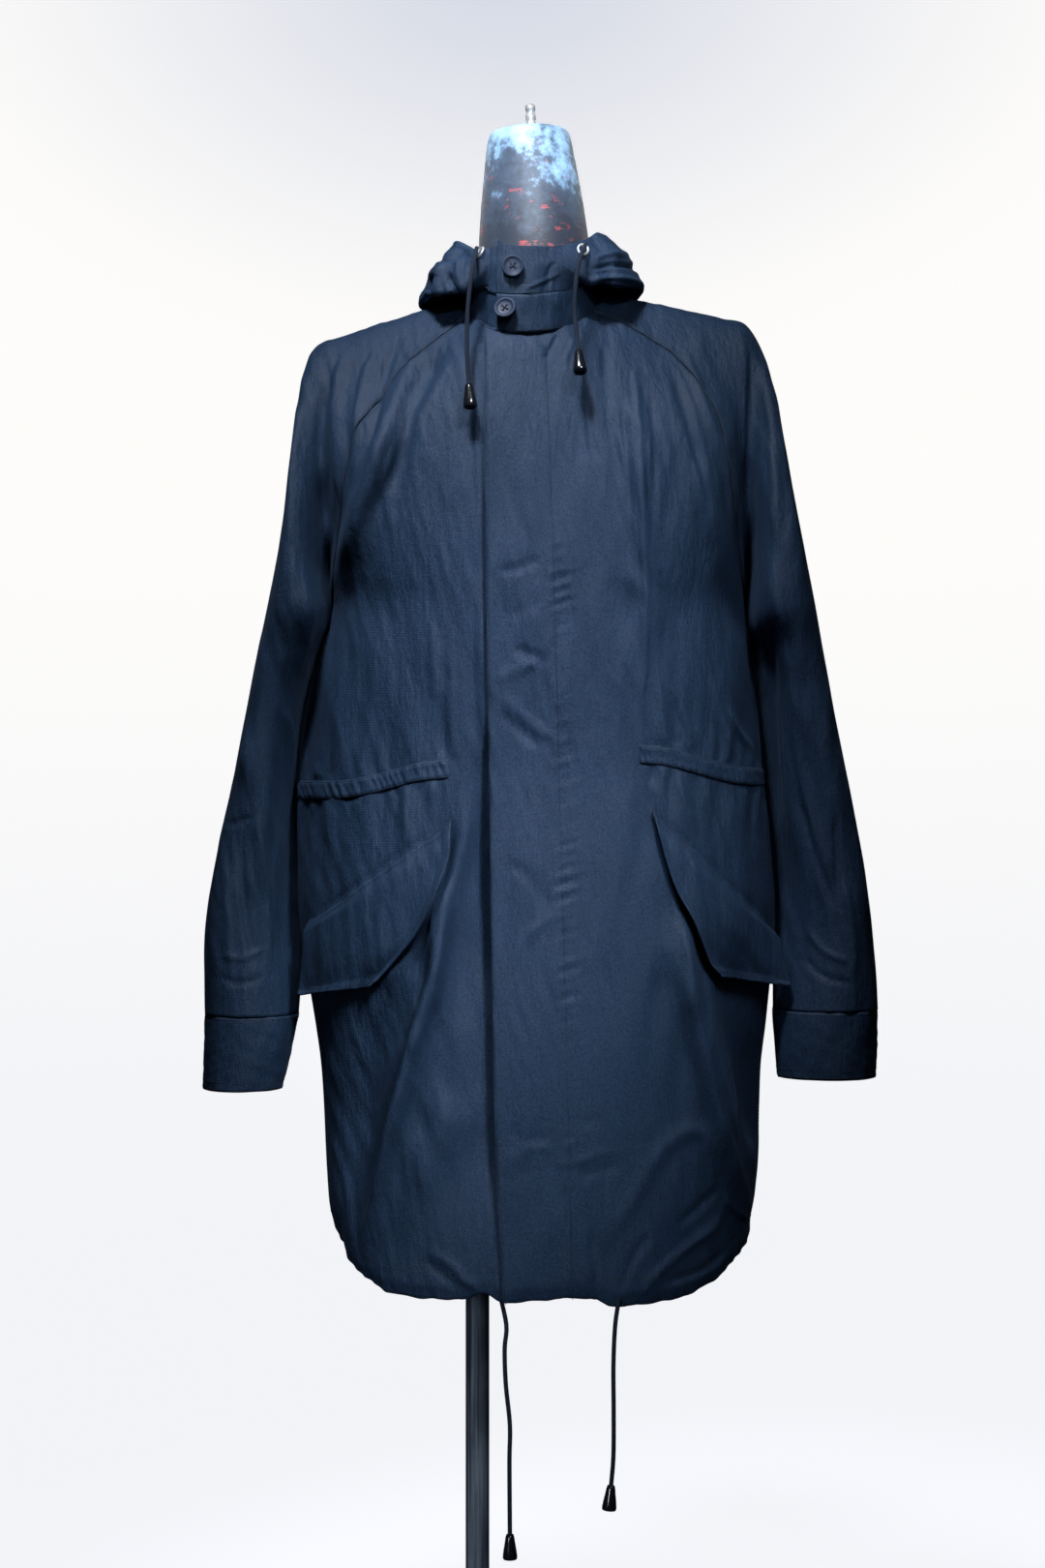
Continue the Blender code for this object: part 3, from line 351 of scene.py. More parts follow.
# The form's pole and base are black painted steel. The pole's paint is scuffed in long
# scratches from sliding in its clamp, and both keep the CAD's own shapes.
def painted_steel(name, scratched):
    made, shader, place, _ = finish(name, Metallic=0.35, Coat_Weight=0.25, Coat_Roughness=0.3)
    streak = place.scaled(260.0, 260.0, 5.0).noise(1.0, 5.0, Roughness=0.6)
    cloudy = place.noise(14.0, 4.0)
    mask = streak + cloudy * 0.35
    stops = ((0.60, (0, 0, 0)), (0.80, (1, 1, 1)))
    worn = mask.node("ShaderNodeValToRGB", {"stops": stops}, n0=mask)
    share = worn * (0.55 if scratched else 0.12)
    feed(shader, "Base Color", share.blend((0.045, 0.065, 0.100), (0.36, 0.43, 0.54)))
    feed(shader, "Roughness", cloudy * 0.25 + (0.30 if scratched else 0.38))
    emboss(shader, streak, 0.12, 0.0004)
    return made


def dress(node, look):
    """Gives a CAD node that keeps its shape a better material."""
    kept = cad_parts[node]
    for slot in kept.material_slots:
        slot.material = look
    if not kept.material_slots:
        kept.data.materials.append(look)


dress("stand_pole", painted_steel("scuffed_pole_paint", True))
dress("stand_base", painted_steel("base_paint", False))


# The torso is padded and covered with plain grey jersey; the jacket rests on it and hides all
# but its underside and the top of its shoulders.
def jersey(name):
    made, shader, place, _ = finish(name, Roughness=0.9, Sheen_Weight=0.3)
    ribs = place.node(
        "ShaderNodeTexWave",
        {"bands_direction": "X", "wave_profile": "SIN"},
        out=1,
        Vector=place,
        Scale=180.0,
        Distortion=1.5,
        Detail=2.0,
    )
    lint = place.noise(60.0, 6.0)
    shade = (ribs * 0.4 + lint * 0.6).blend((0.07, 0.08, 0.09), (0.16, 0.17, 0.20))
    feed(shader, "Base Color", shade)
    emboss(shader, ribs, 0.4, 0.0006)
    return made


dress("form_torso", jersey("torso_jersey"))

# The neck block is a stiff tapering cap in a printed cover, in a generic mottle of pale blue
# and slate with reddish flecks. It leans a little and carries a short grooved metal pin.
NECK_LEAN = math.radians(-2.6)
NECK_UP = Vector((math.sin(NECK_LEAN), 0, math.cos(NECK_LEAN)))
NECK_FOOT = FIGURE + Vector((0.0055, -0.008, 1.4120))
NECK_SECTION = (
    (0.0000, 0.0555),
    (0.0150, 0.0545),
    (0.0300, 0.0535),
    (0.0540, 0.0521),
    (0.0780, 0.0504),
    (0.1020, 0.0479),
    (0.1260, 0.0447),
    (0.1450, 0.0420),
    (0.1600, 0.0397),
    (0.1665, 0.0386),
    (0.1705, 0.0370),
    (0.1730, 0.0346),
    (0.1743, 0.0310),
    (0.1743, 0.0120),
)


def neck_print(name):
    made, shader, place, _ = finish(name, Roughness=0.55, Sheen_Weight=0.15)
    rise = place.axis(2).share(1.44, 1.575)
    cloud = place.noise(30.0, 6.0, Roughness=0.62)
    fine = place.noise(120.0, 5.0, Roughness=0.6)
    mix = cloud * 1.7 + fine * 0.6 + rise * 1.15 - 0.78
    slates = (
        (0.44, (0.020, 0.030, 0.052)),
        (0.72, (0.050, 0.078, 0.125)),
        (1.00, (0.120, 0.205, 0.330)),
    )
    ground = mix.node("ShaderNodeValToRGB", {"stops": slates}, n0=mix * 0.62)
    ground = mix.share(1.22, 1.60).blend(ground, (0.300, 0.500, 0.760))
    fleck = place.scaled(60.0, 60.0, 150.0).noise(1.0, 3.0, Roughness=0.7)
    patch = place.noise(26.0, 1.0)
    kept = fleck.share(0.60, 0.68) * (patch - rise * 0.1).share(0.42, 0.50)
    feed(shader, "Base Color", (kept * 0.8).blend(ground, (0.480, 0.070, 0.080)))
    emboss(shader, place.noise(1400.0, 1.0), 0.15, 0.0003)
    return made


NECK_SIDES = 72
neck = turned("neck_cover", NECK_SECTION, NECK_SIDES, neck_print("neck_print"), NECK_FOOT, NECK_UP)
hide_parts("form_neck")


def bright(name, colour, roughness):
    """Turned or pressed metal with fine marks that break up its gloss."""
    made, shader, place, _ = finish(name, Metallic=0.6)
    marks = place.noise(700.0, 4.0)
    feed(shader, "Base Color", marks.blend(tuple(c * 0.8 for c in colour), colour))
    feed(shader, "Roughness", marks * 0.2 + roughness)
    emboss(shader, marks, 0.1, 0.0002)
    return made


PIN_SECTION = (
    (0.0000, 0.0050),
    (0.0008, 0.0056),
    (0.0022, 0.0056),
    (0.0028, 0.0046),
    (0.0085, 0.0046),
    (0.0091, 0.0041),
    (0.0101, 0.0041),
    (0.0107, 0.0046),
    (0.0155, 0.0046),
    (0.0162, 0.0037),
    (0.0187, 0.0037),
    (0.0194, 0.0046),
    (0.0230, 0.0046),
    (0.0240, 0.0041),
    (0.0245, 0.0031),
)
PIN_SIDES = 48
PIN_FOOT = NECK_FOOT + NECK_UP * 0.1746 + Vector((0.0025, 0, 0))
steel = bright("turned_steel", (0.78, 0.80, 0.83), 0.16)
pin = turned("neck_pin", PIN_SECTION, PIN_SIDES, steel, PIN_FOOT, NECK_UP)
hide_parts("form_knob")


# The garment's cloth is one tightly woven navy cotton and nylon with a slight sheen. Every
# panel is a thin shell on the outer face of its CAD wall, with the main creases raised.
CLOTH_THICKNESS = 0.0012
WALLS = (0.0018, 0.0012)
WALL_SLACK = 2e-6
SAME_POINT = 0.00002
SHORT_STEP = 0.002
TIGHT_TURN = -2.6


def wall_rows(name, top, start, counts=None):
    """The outer face of a CAD cloth wall as rows of points. The first row is the side that
    lies farthest along the direction top, and each row begins at the side farthest along start.
    The corners are where the outline turns most, counts of facets apart, or any number."""
    shape = bmesh.new()
    shape.from_mesh(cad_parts[name].data)
    bmesh.ops.remove_doubles(shape, verts=shape.verts, dist=SAME_POINT)

    def crosses_the_wall(edge):
        return min(abs(edge.calc_length() - wall) for wall in WALLS) < WALL_SLACK

    rims = {f for e in shape.edges if crosses_the_wall(e) for f in e.link_faces}
    bmesh.ops.delete(shape, geom=list(rims), context="FACES")
    islands, left = [], set(shape.faces)
    while left:
        found, edge = set(), {left.pop()}
        while edge:
            found |= edge
            edge = {g for f in edge for e in f.edges for g in e.link_faces} - found
        left -= found
        islands.append(found)
    outer = max(islands, key=lambda island: sum(f.calc_area() for f in island))
    bmesh.ops.delete(shape, geom=list(set(shape.faces) - outer), context="FACES")
    loop = [next(v for v in shape.verts if v.is_boundary)]
    while len(loop) < 3 or loop[-1] != loop[0]:
        ways = [e.other_vert(loop[-1]) for e in loop[-1].link_edges if e.is_boundary]
        loop.append(ways[0] if len(loop) < 2 or ways[0] != loop[-2] else ways[1])
    loop.pop()

    def turn(vert):
        return math.pi - sum(c.calc_angle() for c in vert.link_loops)

    # A tight fold's rim can leave a facet out and a rim's point in: both are passed over.
    loop = [v for v in loop if turn(v) > TIGHT_TURN]
    loop = [v for k, v in enumerate(loop) if (v.co - loop[k - 1].co).length > SHORT_STEP]
    count = len(loop)
    half = count // 2
    turns = [turn(vert) for vert in loop]
    _, first, span = max(
        (sum(turns[(k + n) % count] for n in (0, span, half, half + span)), k, span)
        for span in counts or range(1, half)
        for k in range(half)
    )
    corners = sorted((first + n) % count for n in (0, span, half, half + span))
    sides = []
    for a, b in zip(corners, corners[1:] + corners[:1]):
        sides.append([loop[(a + n) % count] for n in range((b - a) % count + 1)])

    def far_along(k, way):
        return sum(v.co.dot(Vector(way)) for v in sides[k]) / len(sides[k])

    def steps_from(side):
        steps, edge, n = {}, set(side), 0
        while edge:
            steps.update((v, n) for v in edge)
            edge = {e.other_vert(v) for v in edge for e in v.link_edges} - set(steps)
            n += 1
        return steps

    top_side = max(range(4), key=lambda k: far_along(k, top))
    start_side = max(((top_side + 1) % 4, (top_side + 3) % 4), key=lambda k: far_along(k, start))
    down, across = steps_from(sides[top_side]), steps_from(sides[start_side])
    rows = np.zeros((max(down.values()) + 1, max(across.values()) + 1, 3))
    for vert in shape.verts:
        rows[down[vert], across[vert]] = vert.co
    # Flat facets in a line are one facet in the CAD: their missing points are put back.
    for j in range(rows.shape[1]):
        there = rows[rows[:, j].any(axis=1), j]
        places = np.linspace(0, len(there) - 1, len(rows))
        for k in range(3):
            rows[:, j, k] = np.interp(places, range(len(there)), there[:, k])
    shape.free()
    return rows


def refined(rows, gap):
    """The rows' smooth surface at an even mesh of about gap."""
    tall = np.linalg.norm(np.diff(rows, axis=0), axis=2).sum(axis=0).max()
    wide = np.linalg.norm(np.diff(rows, axis=1), axis=2).sum(axis=1).max()
    fine = between(rows, max(int(tall / gap), 3) + 1)
    fine = between(np.swapaxes(fine, 0, 1), max(int(wide / gap), 3) + 1)
    return np.swapaxes(fine, 0, 1)


def outward(places, inside):
    """The unit normals of a mesh of places, turned away from the point inside, or from the
    middle of each row where there is none."""
    if inside is None:
        inside = places.mean(axis=1, keepdims=True)
    down, across = np.gradient(places, axis=0), np.gradient(places, axis=1)
    ways = np.cross(down, across)
    ways /= np.maximum(np.linalg.norm(ways, axis=2), 1e-9)[..., None]
    return ways if np.sum(ways * (places - np.array(inside))) > 0 else -ways


def ease(u):
    """A smooth step from 0 to 1."""
    u = np.clip(u, 0, 1)
    return u * u * (3 - 2 * u)


PIXEL = 0.0009
PHOTO_MIDDLE = (540, 810)


def seen_at(places):
    """Where places lie in the camera's view, in pixels of the photograph's 1080 by 1620."""
    scale = PIXEL * (VIEW_DISTANCE + places[..., 1]) / VIEW_DISTANCE
    across = PHOTO_MIDDLE[0] + (places[..., 0] - VIEW_CENTRE[0]) / scale
    down = PHOTO_MIDDLE[1] - (places[..., 2] - VIEW_CENTRE[1]) / scale
    return np.stack([across, down], axis=-1)


CREASE_STEPS = 6
CREASE_FADE = 0.25


def crease(spots, path, left, right, height):
    """The rise in metres of one crease, of a height in millimetres, over spots in the view.
    Its path runs down the view. It falls away over so many pixels on the path's left in the
    view and so many on its right, and fades in and out along it."""
    line = between(np.array(path, float), CREASE_STEPS * len(path))
    reach = max(left, right)
    low, high = line.min(axis=0) - reach, line.max(axis=0) + reach
    inside = np.all((spots > low) & (spots < high), axis=-1)
    rise = np.zeros(spots.shape[:-1])
    here = spots[inside]
    if not len(here):
        return rise
    best = np.full(len(here), np.inf)
    width = np.ones(len(here))
    along = np.zeros(len(here))
    runs = run_along(line)
    for k in range(len(line) - 1):
        way = line[k + 1] - line[k]
        span = max(way @ way, 1e-9)
        off = here - line[k]
        share = np.clip(off @ way / span, 0, 1)
        distance = np.linalg.norm(off - share[:, None] * way, axis=1)
        closer = distance < best
        best[closer] = distance[closer]
        turn = way[0] * off[:, 1] - way[1] * off[:, 0]
        width[closer] = np.where(turn > 0, left, right)[closer]
        along[closer] = ((runs[k] + share * math.sqrt(span)) / runs[-1])[closer]
    out = np.clip(best / width, 0, 1)
    fade = ease(along / CREASE_FADE) * ease((1 - along) / CREASE_FADE)
    rise[inside] = height / 1000 * fade * (1 - out) ** 2 * (1 + 2 * out)
    return rise


RIPPLE_WAVES = 9


def ripples(spots, seed, pitch, height, slant):
    """Soft uneven waves of about pitch apart, within slant of upright, the same on each run."""
    dice = np.random.default_rng(seed)
    total = np.zeros(spots.shape[:-1])
    for _ in range(RIPPLE_WAVES):
        angle = dice.uniform(-slant, slant)
        size = dice.uniform(0.6, 1.6) * pitch
        spin = dice.uniform(0, 2 * math.pi, 3)
        across = spots[..., 0] * math.cos(angle) + spots[..., 1] * math.sin(angle)
        up = spots[..., 1] * math.cos(angle) - spots[..., 0] * math.sin(angle)
        bend = 1.4 * np.sin(up / (pitch * 2.7) + spin[0])
        strength = 0.5 + 0.5 * np.sin(up / (pitch * 1.9) + spin[1])
        total += strength * np.sin(2 * math.pi * across / size + bend + spin[2])
    return total * height / 3


# The creases of the front: the path down the view, the reach on its left and right, the height.
FRONT_CREASES = (
    # chest, left in the view: drag from the hood to the armpit, and the hollow by the fly
    (((466, 350), (440, 395), (421, 435), (413, 477), (392, 521), (378, 570)), 14, 12, -4.0),
    (((437, 352), (412, 405), (394, 452), (369, 527), (350, 600)), 12, 13, 4.4),
    (((394, 352), (377, 390), (368, 440), (363, 510)), 7, 10, 3.0),
    (((414, 342), (398, 385), (388, 430), (378, 480)), 7, 8, -3.0),
    (((362, 350), (349, 390), (346, 440), (351, 490), (358, 540)), 8, 13, 4.6),
    (((345, 372), (334, 425), (333, 490), (340, 570)), 11, 9, -4.0),
    (((484, 400), (488, 470), (492, 560)), 14, 6, -2.4),
    (((447, 640), (449, 700), (452, 785)), 6, 6, 1.6),
    (((464, 655), (466, 720), (466, 790)), 5, 6, 1.6),
    (((494, 600), (490, 660), (489, 710), (496, 780)), 14, 7, -3.0),
    # skirt, left in the view: the edge of the deep fold by the fly, and what lies beside it
    (
        (
            (500, 782), (484, 846), (462, 927), (447, 1009),
            (427, 1063), (407, 1141), (388, 1213), (371, 1312),
        ), 12, 20, 6.5,
    ),
    (((452, 915), (434, 1005), (408, 1095), (384, 1195), (366, 1290)), 46, 12, -12.0),
    (((500, 1119), (449, 1202), (405, 1291)), 30, 30, 3.0),
    (((343, 1169), (352, 1219), (363, 1291)), 5, 5, 1.6),
    (((354, 1190), (364, 1255), (374, 1312)), 4, 5, -1.4),
    (((440, 1290), (465, 1306), (482, 1324), (501, 1340)), 6, 8, 2.6),
    (((434, 1300), (458, 1318), (480, 1338)), 6, 6, -1.8),
    # storm fly: short creases pulled in by its seam
    (((512, 590), (535, 588), (558, 574)), 9, 10, -1.2),
    (((515, 640), (545, 628), (566, 612)), 9, 9, -0.8),
    (((524, 668), (550, 677), (571, 690)), 10, 10, -1.6),
    (((512, 704), (540, 690), (564, 682)), 8, 10, 1.2),
    (((517, 717), (541, 740), (562, 757), (577, 771)), 9, 9, 1.5),
    (((510, 732), (536, 755), (565, 776)), 8, 10, -1.4),
    (((519, 890), (545, 905), (569, 940)), 10, 10, -1.1),
    (((538, 976), (560, 955), (577, 946), (598, 938)), 8, 9, 1.2),
    (((521, 1163), (545, 1178), (573, 1172)), 9, 10, -0.7),
    (((523, 1206), (549, 1187), (574, 1191)), 8, 10, 0.8),
    (((520, 1224), (545, 1211), (569, 1214)), 8, 9, -0.7),
    (((579, 1200), (578, 1225), (576, 1256)), 4, 5, -2.6),
    # chest, right in the view
    (
        (
            (653, 350), (659, 440), (662, 515), (664, 559),
            (666, 615), (664, 677), (662, 746), (664, 810),
        ), 4, 9, 3.4,
    ),
    (((606, 385), (609, 440), (616, 484)), 8, 8, -2.0),
    (((631, 340), (625, 378), (631, 440), (642, 505)), 8, 10, -2.0),
    (((577, 344), (570, 358), (563, 372)), 4, 6, -1.8),
    (((594, 348), (588, 362), (583, 378)), 4, 5, 1.4),
    (((700, 345), (719, 395), (737, 440), (753, 490), (763, 560)), 9, 8, 3.4),
    (((690, 372), (708, 420), (724, 475), (738, 540)), 9, 9, -3.0),
    (((640, 410), (648, 470), (650, 545)), 4, 5, -1.8),
    (((648, 400), (655, 460), (657, 552)), 3, 5, 1.6),
    (((672, 400), (676, 470), (675, 560)), 4, 6, -1.8),
    (((764, 330), (776, 365), (775, 440), (772, 515), (774, 610)), 6, 16, -5.0),
    (((681, 684), (684, 746), (700, 786)), 4, 6, 2.2),
    (((690, 700), (706, 740), (720, 774)), 4, 7, 2.0),
    (((735, 700), (747, 745), (757, 782)), 4, 6, 1.4),
    (((748, 730), (765, 758), (780, 780)), 4, 5, 2.0),
    (((672, 800), (682, 835), (694, 867)), 3, 7, 2.4),
    (((697, 802), (709, 835), (723, 867)), 3, 7, 2.0),
    (((728, 806), (740, 850), (753, 886)), 4, 7, 1.8),
    # skirt, right in the view
    (((704, 960), (724, 1063), (743, 1147), (763, 1213), (779, 1275)), 24, 9, 6.5),
    (((716, 940), (740, 1040), (762, 1120), (784, 1210)), 13, 42, -6.0),
    (((743, 1218), (721, 1169), (682, 1191), (649, 1247), (616, 1291)), 14, 14, 2.2),
    (((746, 1240), (738, 1267), (721, 1280), (682, 1313), (658, 1340)), 7, 8, 3.0),
    (((752, 1290), (721, 1314), (682, 1326)), 6, 6, -2.4),
    (((748, 1222), (725, 1245), (698, 1268)), 7, 6, -2.0),
    (((744, 1236), (760, 1250), (774, 1262)), 5, 5, 2.0),
    (((674, 1272), (655, 1300), (640, 1338)), 7, 6, -2.2),
    (((646, 1186), (616, 1193), (588, 1203)), 7, 9, 1.0),
    (((644, 1203), (616, 1211), (588, 1216)), 7, 8, -0.9),
    (((624, 1148), (610, 1160), (596, 1162)), 6, 6, -1.0),
    (((610, 1255), (613, 1300), (617, 1345), (622, 1400)), 2.5, 6, -5.0),
    (((516, 1302), (560, 1300), (612, 1299)), 2.5, 2.5, -0.8),
    # sleeve, left in the view
    (((305, 560), (302, 640), (294, 712)), 12, 4, 3.4),
    (((291, 722), (300, 765), (304, 820)), 9, 5, 3.2),
    (((262, 820), (266, 850), (275, 915), (279, 1015)), 9, 5, 3.6),
    (((246, 850), (252, 930), (263, 1005)), 6, 6, -2.4),
    (((229, 880), (236, 950), (240, 1018)), 6, 6, 1.8),
    (((268, 700), (256, 760), (246, 840)), 7, 7, -1.6),
    (((276, 978), (250, 990), (224, 985)), 5, 5, 1.6),
    (((278, 1006), (250, 1016), (222, 1008)), 5, 5, -1.4),
    (((230, 852), (246, 850), (262, 842)), 4, 5, -1.8),
    # sleeve, right in the view
    (((790, 380), (797, 440), (801, 510), (803, 580)), 8, 10, 3.2),
    (((801, 596), (819, 702), (825, 777), (838, 840), (850, 909), (858, 950)), 8, 8, 4.2),
    (((822, 815), (836, 860), (847, 895), (864, 945)), 6, 8, -3.8),
    (((790, 600), (798, 720), (806, 860)), 9, 12, -4.0),
    (((862, 835), (865, 885), (867, 935)), 5, 6, -3.0),
    (((872, 905), (880, 960), (885, 1015)), 6, 6, 2.2),
    (((832, 955), (850, 982), (882, 996)), 5, 6, 1.8),
    (((828, 985), (850, 1008), (886, 1018)), 5, 6, -1.6),
)
# The creases of the back, as the camera would see them through the front.
BACK_CREASES = (
    (((470, 365), (420, 430), (380, 520), (352, 600)), 18, 14, 3.6),
    (((500, 400), (468, 480), (430, 560), (398, 640)), 14, 16, -2.6),
    (((620, 365), (664, 430), (700, 520), (728, 600)), 14, 18, 3.4),
    (((596, 410), (632, 490), (664, 580), (680, 650)), 16, 14, -2.6),
    (((548, 470), (543, 560), (548, 660)), 12, 12, -2.0),
    (((440, 600), (452, 690), (456, 770)), 7, 10, 2.2),
    (((640, 590), (628, 690), (630, 768)), 10, 7, 2.2),
    (((390, 660), (398, 720), (404, 776)), 6, 7, 1.8),
    (((700, 650), (696, 720), (690, 774)), 7, 6, 1.8),
    (((520, 820), (506, 940), (486, 1090), (470, 1300)), 26, 10, 6.0),
    (((600, 820), (618, 930), (640, 1080), (662, 1300)), 10, 26, 5.6),
    (((560, 830), (556, 960), (562, 1120), (560, 1290)), 18, 18, -5.0),
    (((430, 830), (418, 950), (396, 1110), (380, 1280)), 16, 8, 4.4),
    (((706, 830), (716, 960), (738, 1100), (752, 1270)), 8, 16, 4.4),
    (((450, 900), (444, 1010), (430, 1160)), 14, 14, -4.0),
    (((676, 880), (690, 1010), (700, 1150)), 14, 14, -4.0),
    (((640, 1240), (600, 1262), (560, 1258)), 7, 8, 2.2),
    (((440, 1210), (470, 1244), (504, 1252)), 7, 8, 2.2),
    (((322, 420), (318, 500), (304, 600), (292, 690)), 9, 11, 3.4),
    (((300, 470), (296, 560), (280, 660)), 8, 8, -2.2),
    (((284, 700), (274, 790), (262, 880), (258, 980)), 9, 7, 3.4),
    (((248, 820), (240, 900), (236, 1000)), 7, 7, -2.2),
    (((786, 420), (800, 510), (814, 600), (826, 690)), 11, 9, 3.4),
    (((812, 470), (828, 560), (840, 650)), 8, 8, -2.2),
    (((836, 700), (850, 790), (866, 880), (876, 980)), 7, 9, 3.4),
    (((872, 830), (882, 910), (890, 1000)), 7, 7, -2.2),
    (((232, 940), (252, 958), (276, 948)), 5, 6, 1.8),
    (((850, 940), (872, 960), (896, 948)), 5, 6, 1.8),
)
# The tunnel's middle line: its front end's place across, its height there and its height at
# the side, on the wearer's left (1) and right (-1), and its height at the middle of the back.
TUNNEL = {1: (0.096, 1.008, 0.988), -1: (0.072, 0.995, 0.976)}
TUNNEL_BACK = 0.982
TUNNEL_HALF = 0.0085
GATHER_HEIGHT = 0.0014
GATHERS = ((0.0135, 0.030), (0.019, 0.046), (0.027, 0.060))


def tunnel_line(places):
    """The height of the waist tunnel's middle line at each place."""
    x = places[..., 0] - FIGURE.x
    ends = np.where(x[..., None] > 0, TUNNEL[1], TUNNEL[-1])
    front = ends[..., 1] + (ends[..., 2] - ends[..., 1]) * ease((np.abs(x) - ends[..., 0]) / 0.105)
    back = TUNNEL_BACK + (ends[..., 2] - TUNNEL_BACK) * ease(np.abs(x) / 0.2)
    return np.where(places[..., 1] < 0, front, back)


def gathers(places):
    """Soft upright gathers above and below the tunnel, of three pitches and reaches."""
    x = places[..., 0] - FIGURE.x
    above = places[..., 2] - tunnel_line(places)
    inner = np.where(x > 0, TUNNEL[1][0], TUNNEL[-1][0]) - 0.012
    there = np.where(places[..., 1] < 0, ease((np.abs(x) - inner) / 0.02), 1.0)
    total = np.zeros(x.shape)
    for seed, sign in ((11, 1), (12, -1)):
        dice = np.random.default_rng(seed)
        far = sign * above - TUNNEL_HALF
        for pitch, reach in GATHERS:
            spin = dice.uniform(0, 6.28, 3)
            wave = np.sin(2 * math.pi * x / pitch + 2.2 * np.sin(x / 0.041 + spin[0]) + spin[1])
            uneven = 0.55 + 0.45 * np.sin(x / 0.017 + spin[2])
            fade = np.where(far > 0, ease(far / 0.007) * np.exp(-((far / reach) ** 2)), 0)
            total += GATHER_HEIGHT * wave * uneven * fade
    return total * there * (np.abs(above) < 0.16)


FLY_SEAM = ((340, 700, 1000, 1340), (562, 572, 577, 584))
PUCKER_HEIGHT = 0.0008


def wavering(x, pitch, bend, swing):
    """A wave whose pitch wanders by a bend over a swing."""
    return np.sin(x / pitch + bend * np.sin(x / swing))


def puckers(spots):
    """Short ridges across the storm fly's seam, of uneven pitch, in the view."""
    off = spots[..., 0] - np.interp(spots[..., 1], *FLY_SEAM) - 9
    down = spots[..., 1] + 0.35 * off
    wave = np.sin(down / 1.9 + 3.0 * np.sin(down / 61.0) + 1.2 * np.sin(down / 17.0))
    wave = wave + 0.5 * wavering(down, 3.3, 2.0, 37.0)
    uneven = np.clip(0.8 + 0.3 * np.sin(down / 23.0) + 0.35 * np.sin(down / 71.0 + 1), 0, 1.3)
    along = ease((down - 480) / 200) * ease((1240 - down) / 60)
    reach = np.where(off < 0, 10, 12)
    return PUCKER_HEIGHT * wave * uneven * along * np.exp(-((off / reach) ** 2))


# The hem is drawn in by its cord: it curves up at the sides and hangs a little lower on each
# side of the fly. The heights are pixels of the view above its level, at places across it.
HEM_PLACES = (352, 356, 373, 397, 430, 477, 502, 517, 583, 612, 618, 630, 663, 713, 740, 763, 777)
HEM_RISES = (36, 23, 8, -3, -6, -5, 3, -7, -3, -4, -6, -13, -13, -8, 4, 22, 34)
HEM_LEVEL = 0.532
HEM_PIXEL = 0.00085
HEM_REACH = 0.075
HEM_DRAWN = 0.014


def hemmed(places, ways):
    """The places with the hem's edge raised, drawn in and puckered as its cord does."""
    spots = seen_at(places)
    height = places[..., 2] - HEM_LEVEL
    rises = np.interp(spots[..., 0], HEM_PLACES, HEM_RISES)
    rises = np.where(ways[..., 1] < 0, rises, np.maximum(rises, 0) * 0.9)
    near = ease(1 - height / HEM_REACH)
    drawn = ease(1 - height / HEM_DRAWN)
    x = places[..., 0]
    pucker = wavering(x, 0.0016, 2.5, 0.019) * (0.6 + 0.4 * np.sin(x / 0.009))
    out = places.copy()
    out[..., 2] += near * rises * HEM_PIXEL + drawn * 0.0005 * wavering(x, 0.0041, 2, 0.03)
    return out + ways * (drawn * (0.0007 * pucker - 0.0030))[..., None]


# The fronts sink into deep folds that run on beneath the fly's free edge and the pocket flaps.
UNDER_CREASES = {
    "front_right": (
        (((509, 735), (509, 820), (510, 880), (511, 950), (511, 1050)), 36, 30, -12.0),
        (
            ((512, 790), (512, 900), (513, 1000), (514, 1100), (516, 1200), (517, 1300)),
            88, 30, -12.0,
        ),
        (((503, 380), (501, 470), (502, 560), (504, 650), (505, 740)), 9, 20, -3.0),
        (((464, 838), (456, 900), (430, 952), (396, 1012)), 12, 14, -8.0),
    ),
    "front_left": ((((672, 838), (698, 905), (722, 965), (752, 1022)), 14, 22, -4.5),),
}


# Seed, pitch, height and slant of the ripples all over the body and the arms.
WIDE_RIPPLES = (3, 0.055, 0.0014, 0.5)
FINE_RIPPLES = (5, 0.017, 0.0006, 0.5)
BODY_HALF = 0.215


def relief(places, ways, extra=()):
    """How far the cloth of the body and arms stands off its plain form, at each place."""
    spots = seen_at(places)
    rise = ripples(places[..., [0, 2]], *WIDE_RIPPLES)
    rise += ripples(places[..., [0, 2]], *FINE_RIPPLES)
    facing = ways[..., 1]
    for creases, face in ((FRONT_CREASES + extra, facing < 0), (BACK_CREASES, facing > 0)):
        if face.any():
            for path, left, right, height in creases:
                rise += crease(spots, path, left, right, height) * face
    rise += puckers(spots) * (facing < 0)
    body = np.abs(places[..., 0] - FIGURE.x) < BODY_HALF
    return (rise + gathers(places) * body) * ease(np.abs(facing) / 0.35)


def edge_share(shape, edge, reach, gap):
    """1 at one edge of a mesh and 0 from reach on: 0 top, 1 end, 2 bottom, 3 start."""
    count = shape[edge % 2]
    run = np.arange(count) * gap
    if edge in (1, 2):
        run = run[::-1]
    share = 1 - ease(run / reach)
    return share[:, None] if edge % 2 == 0 else share[None, :]


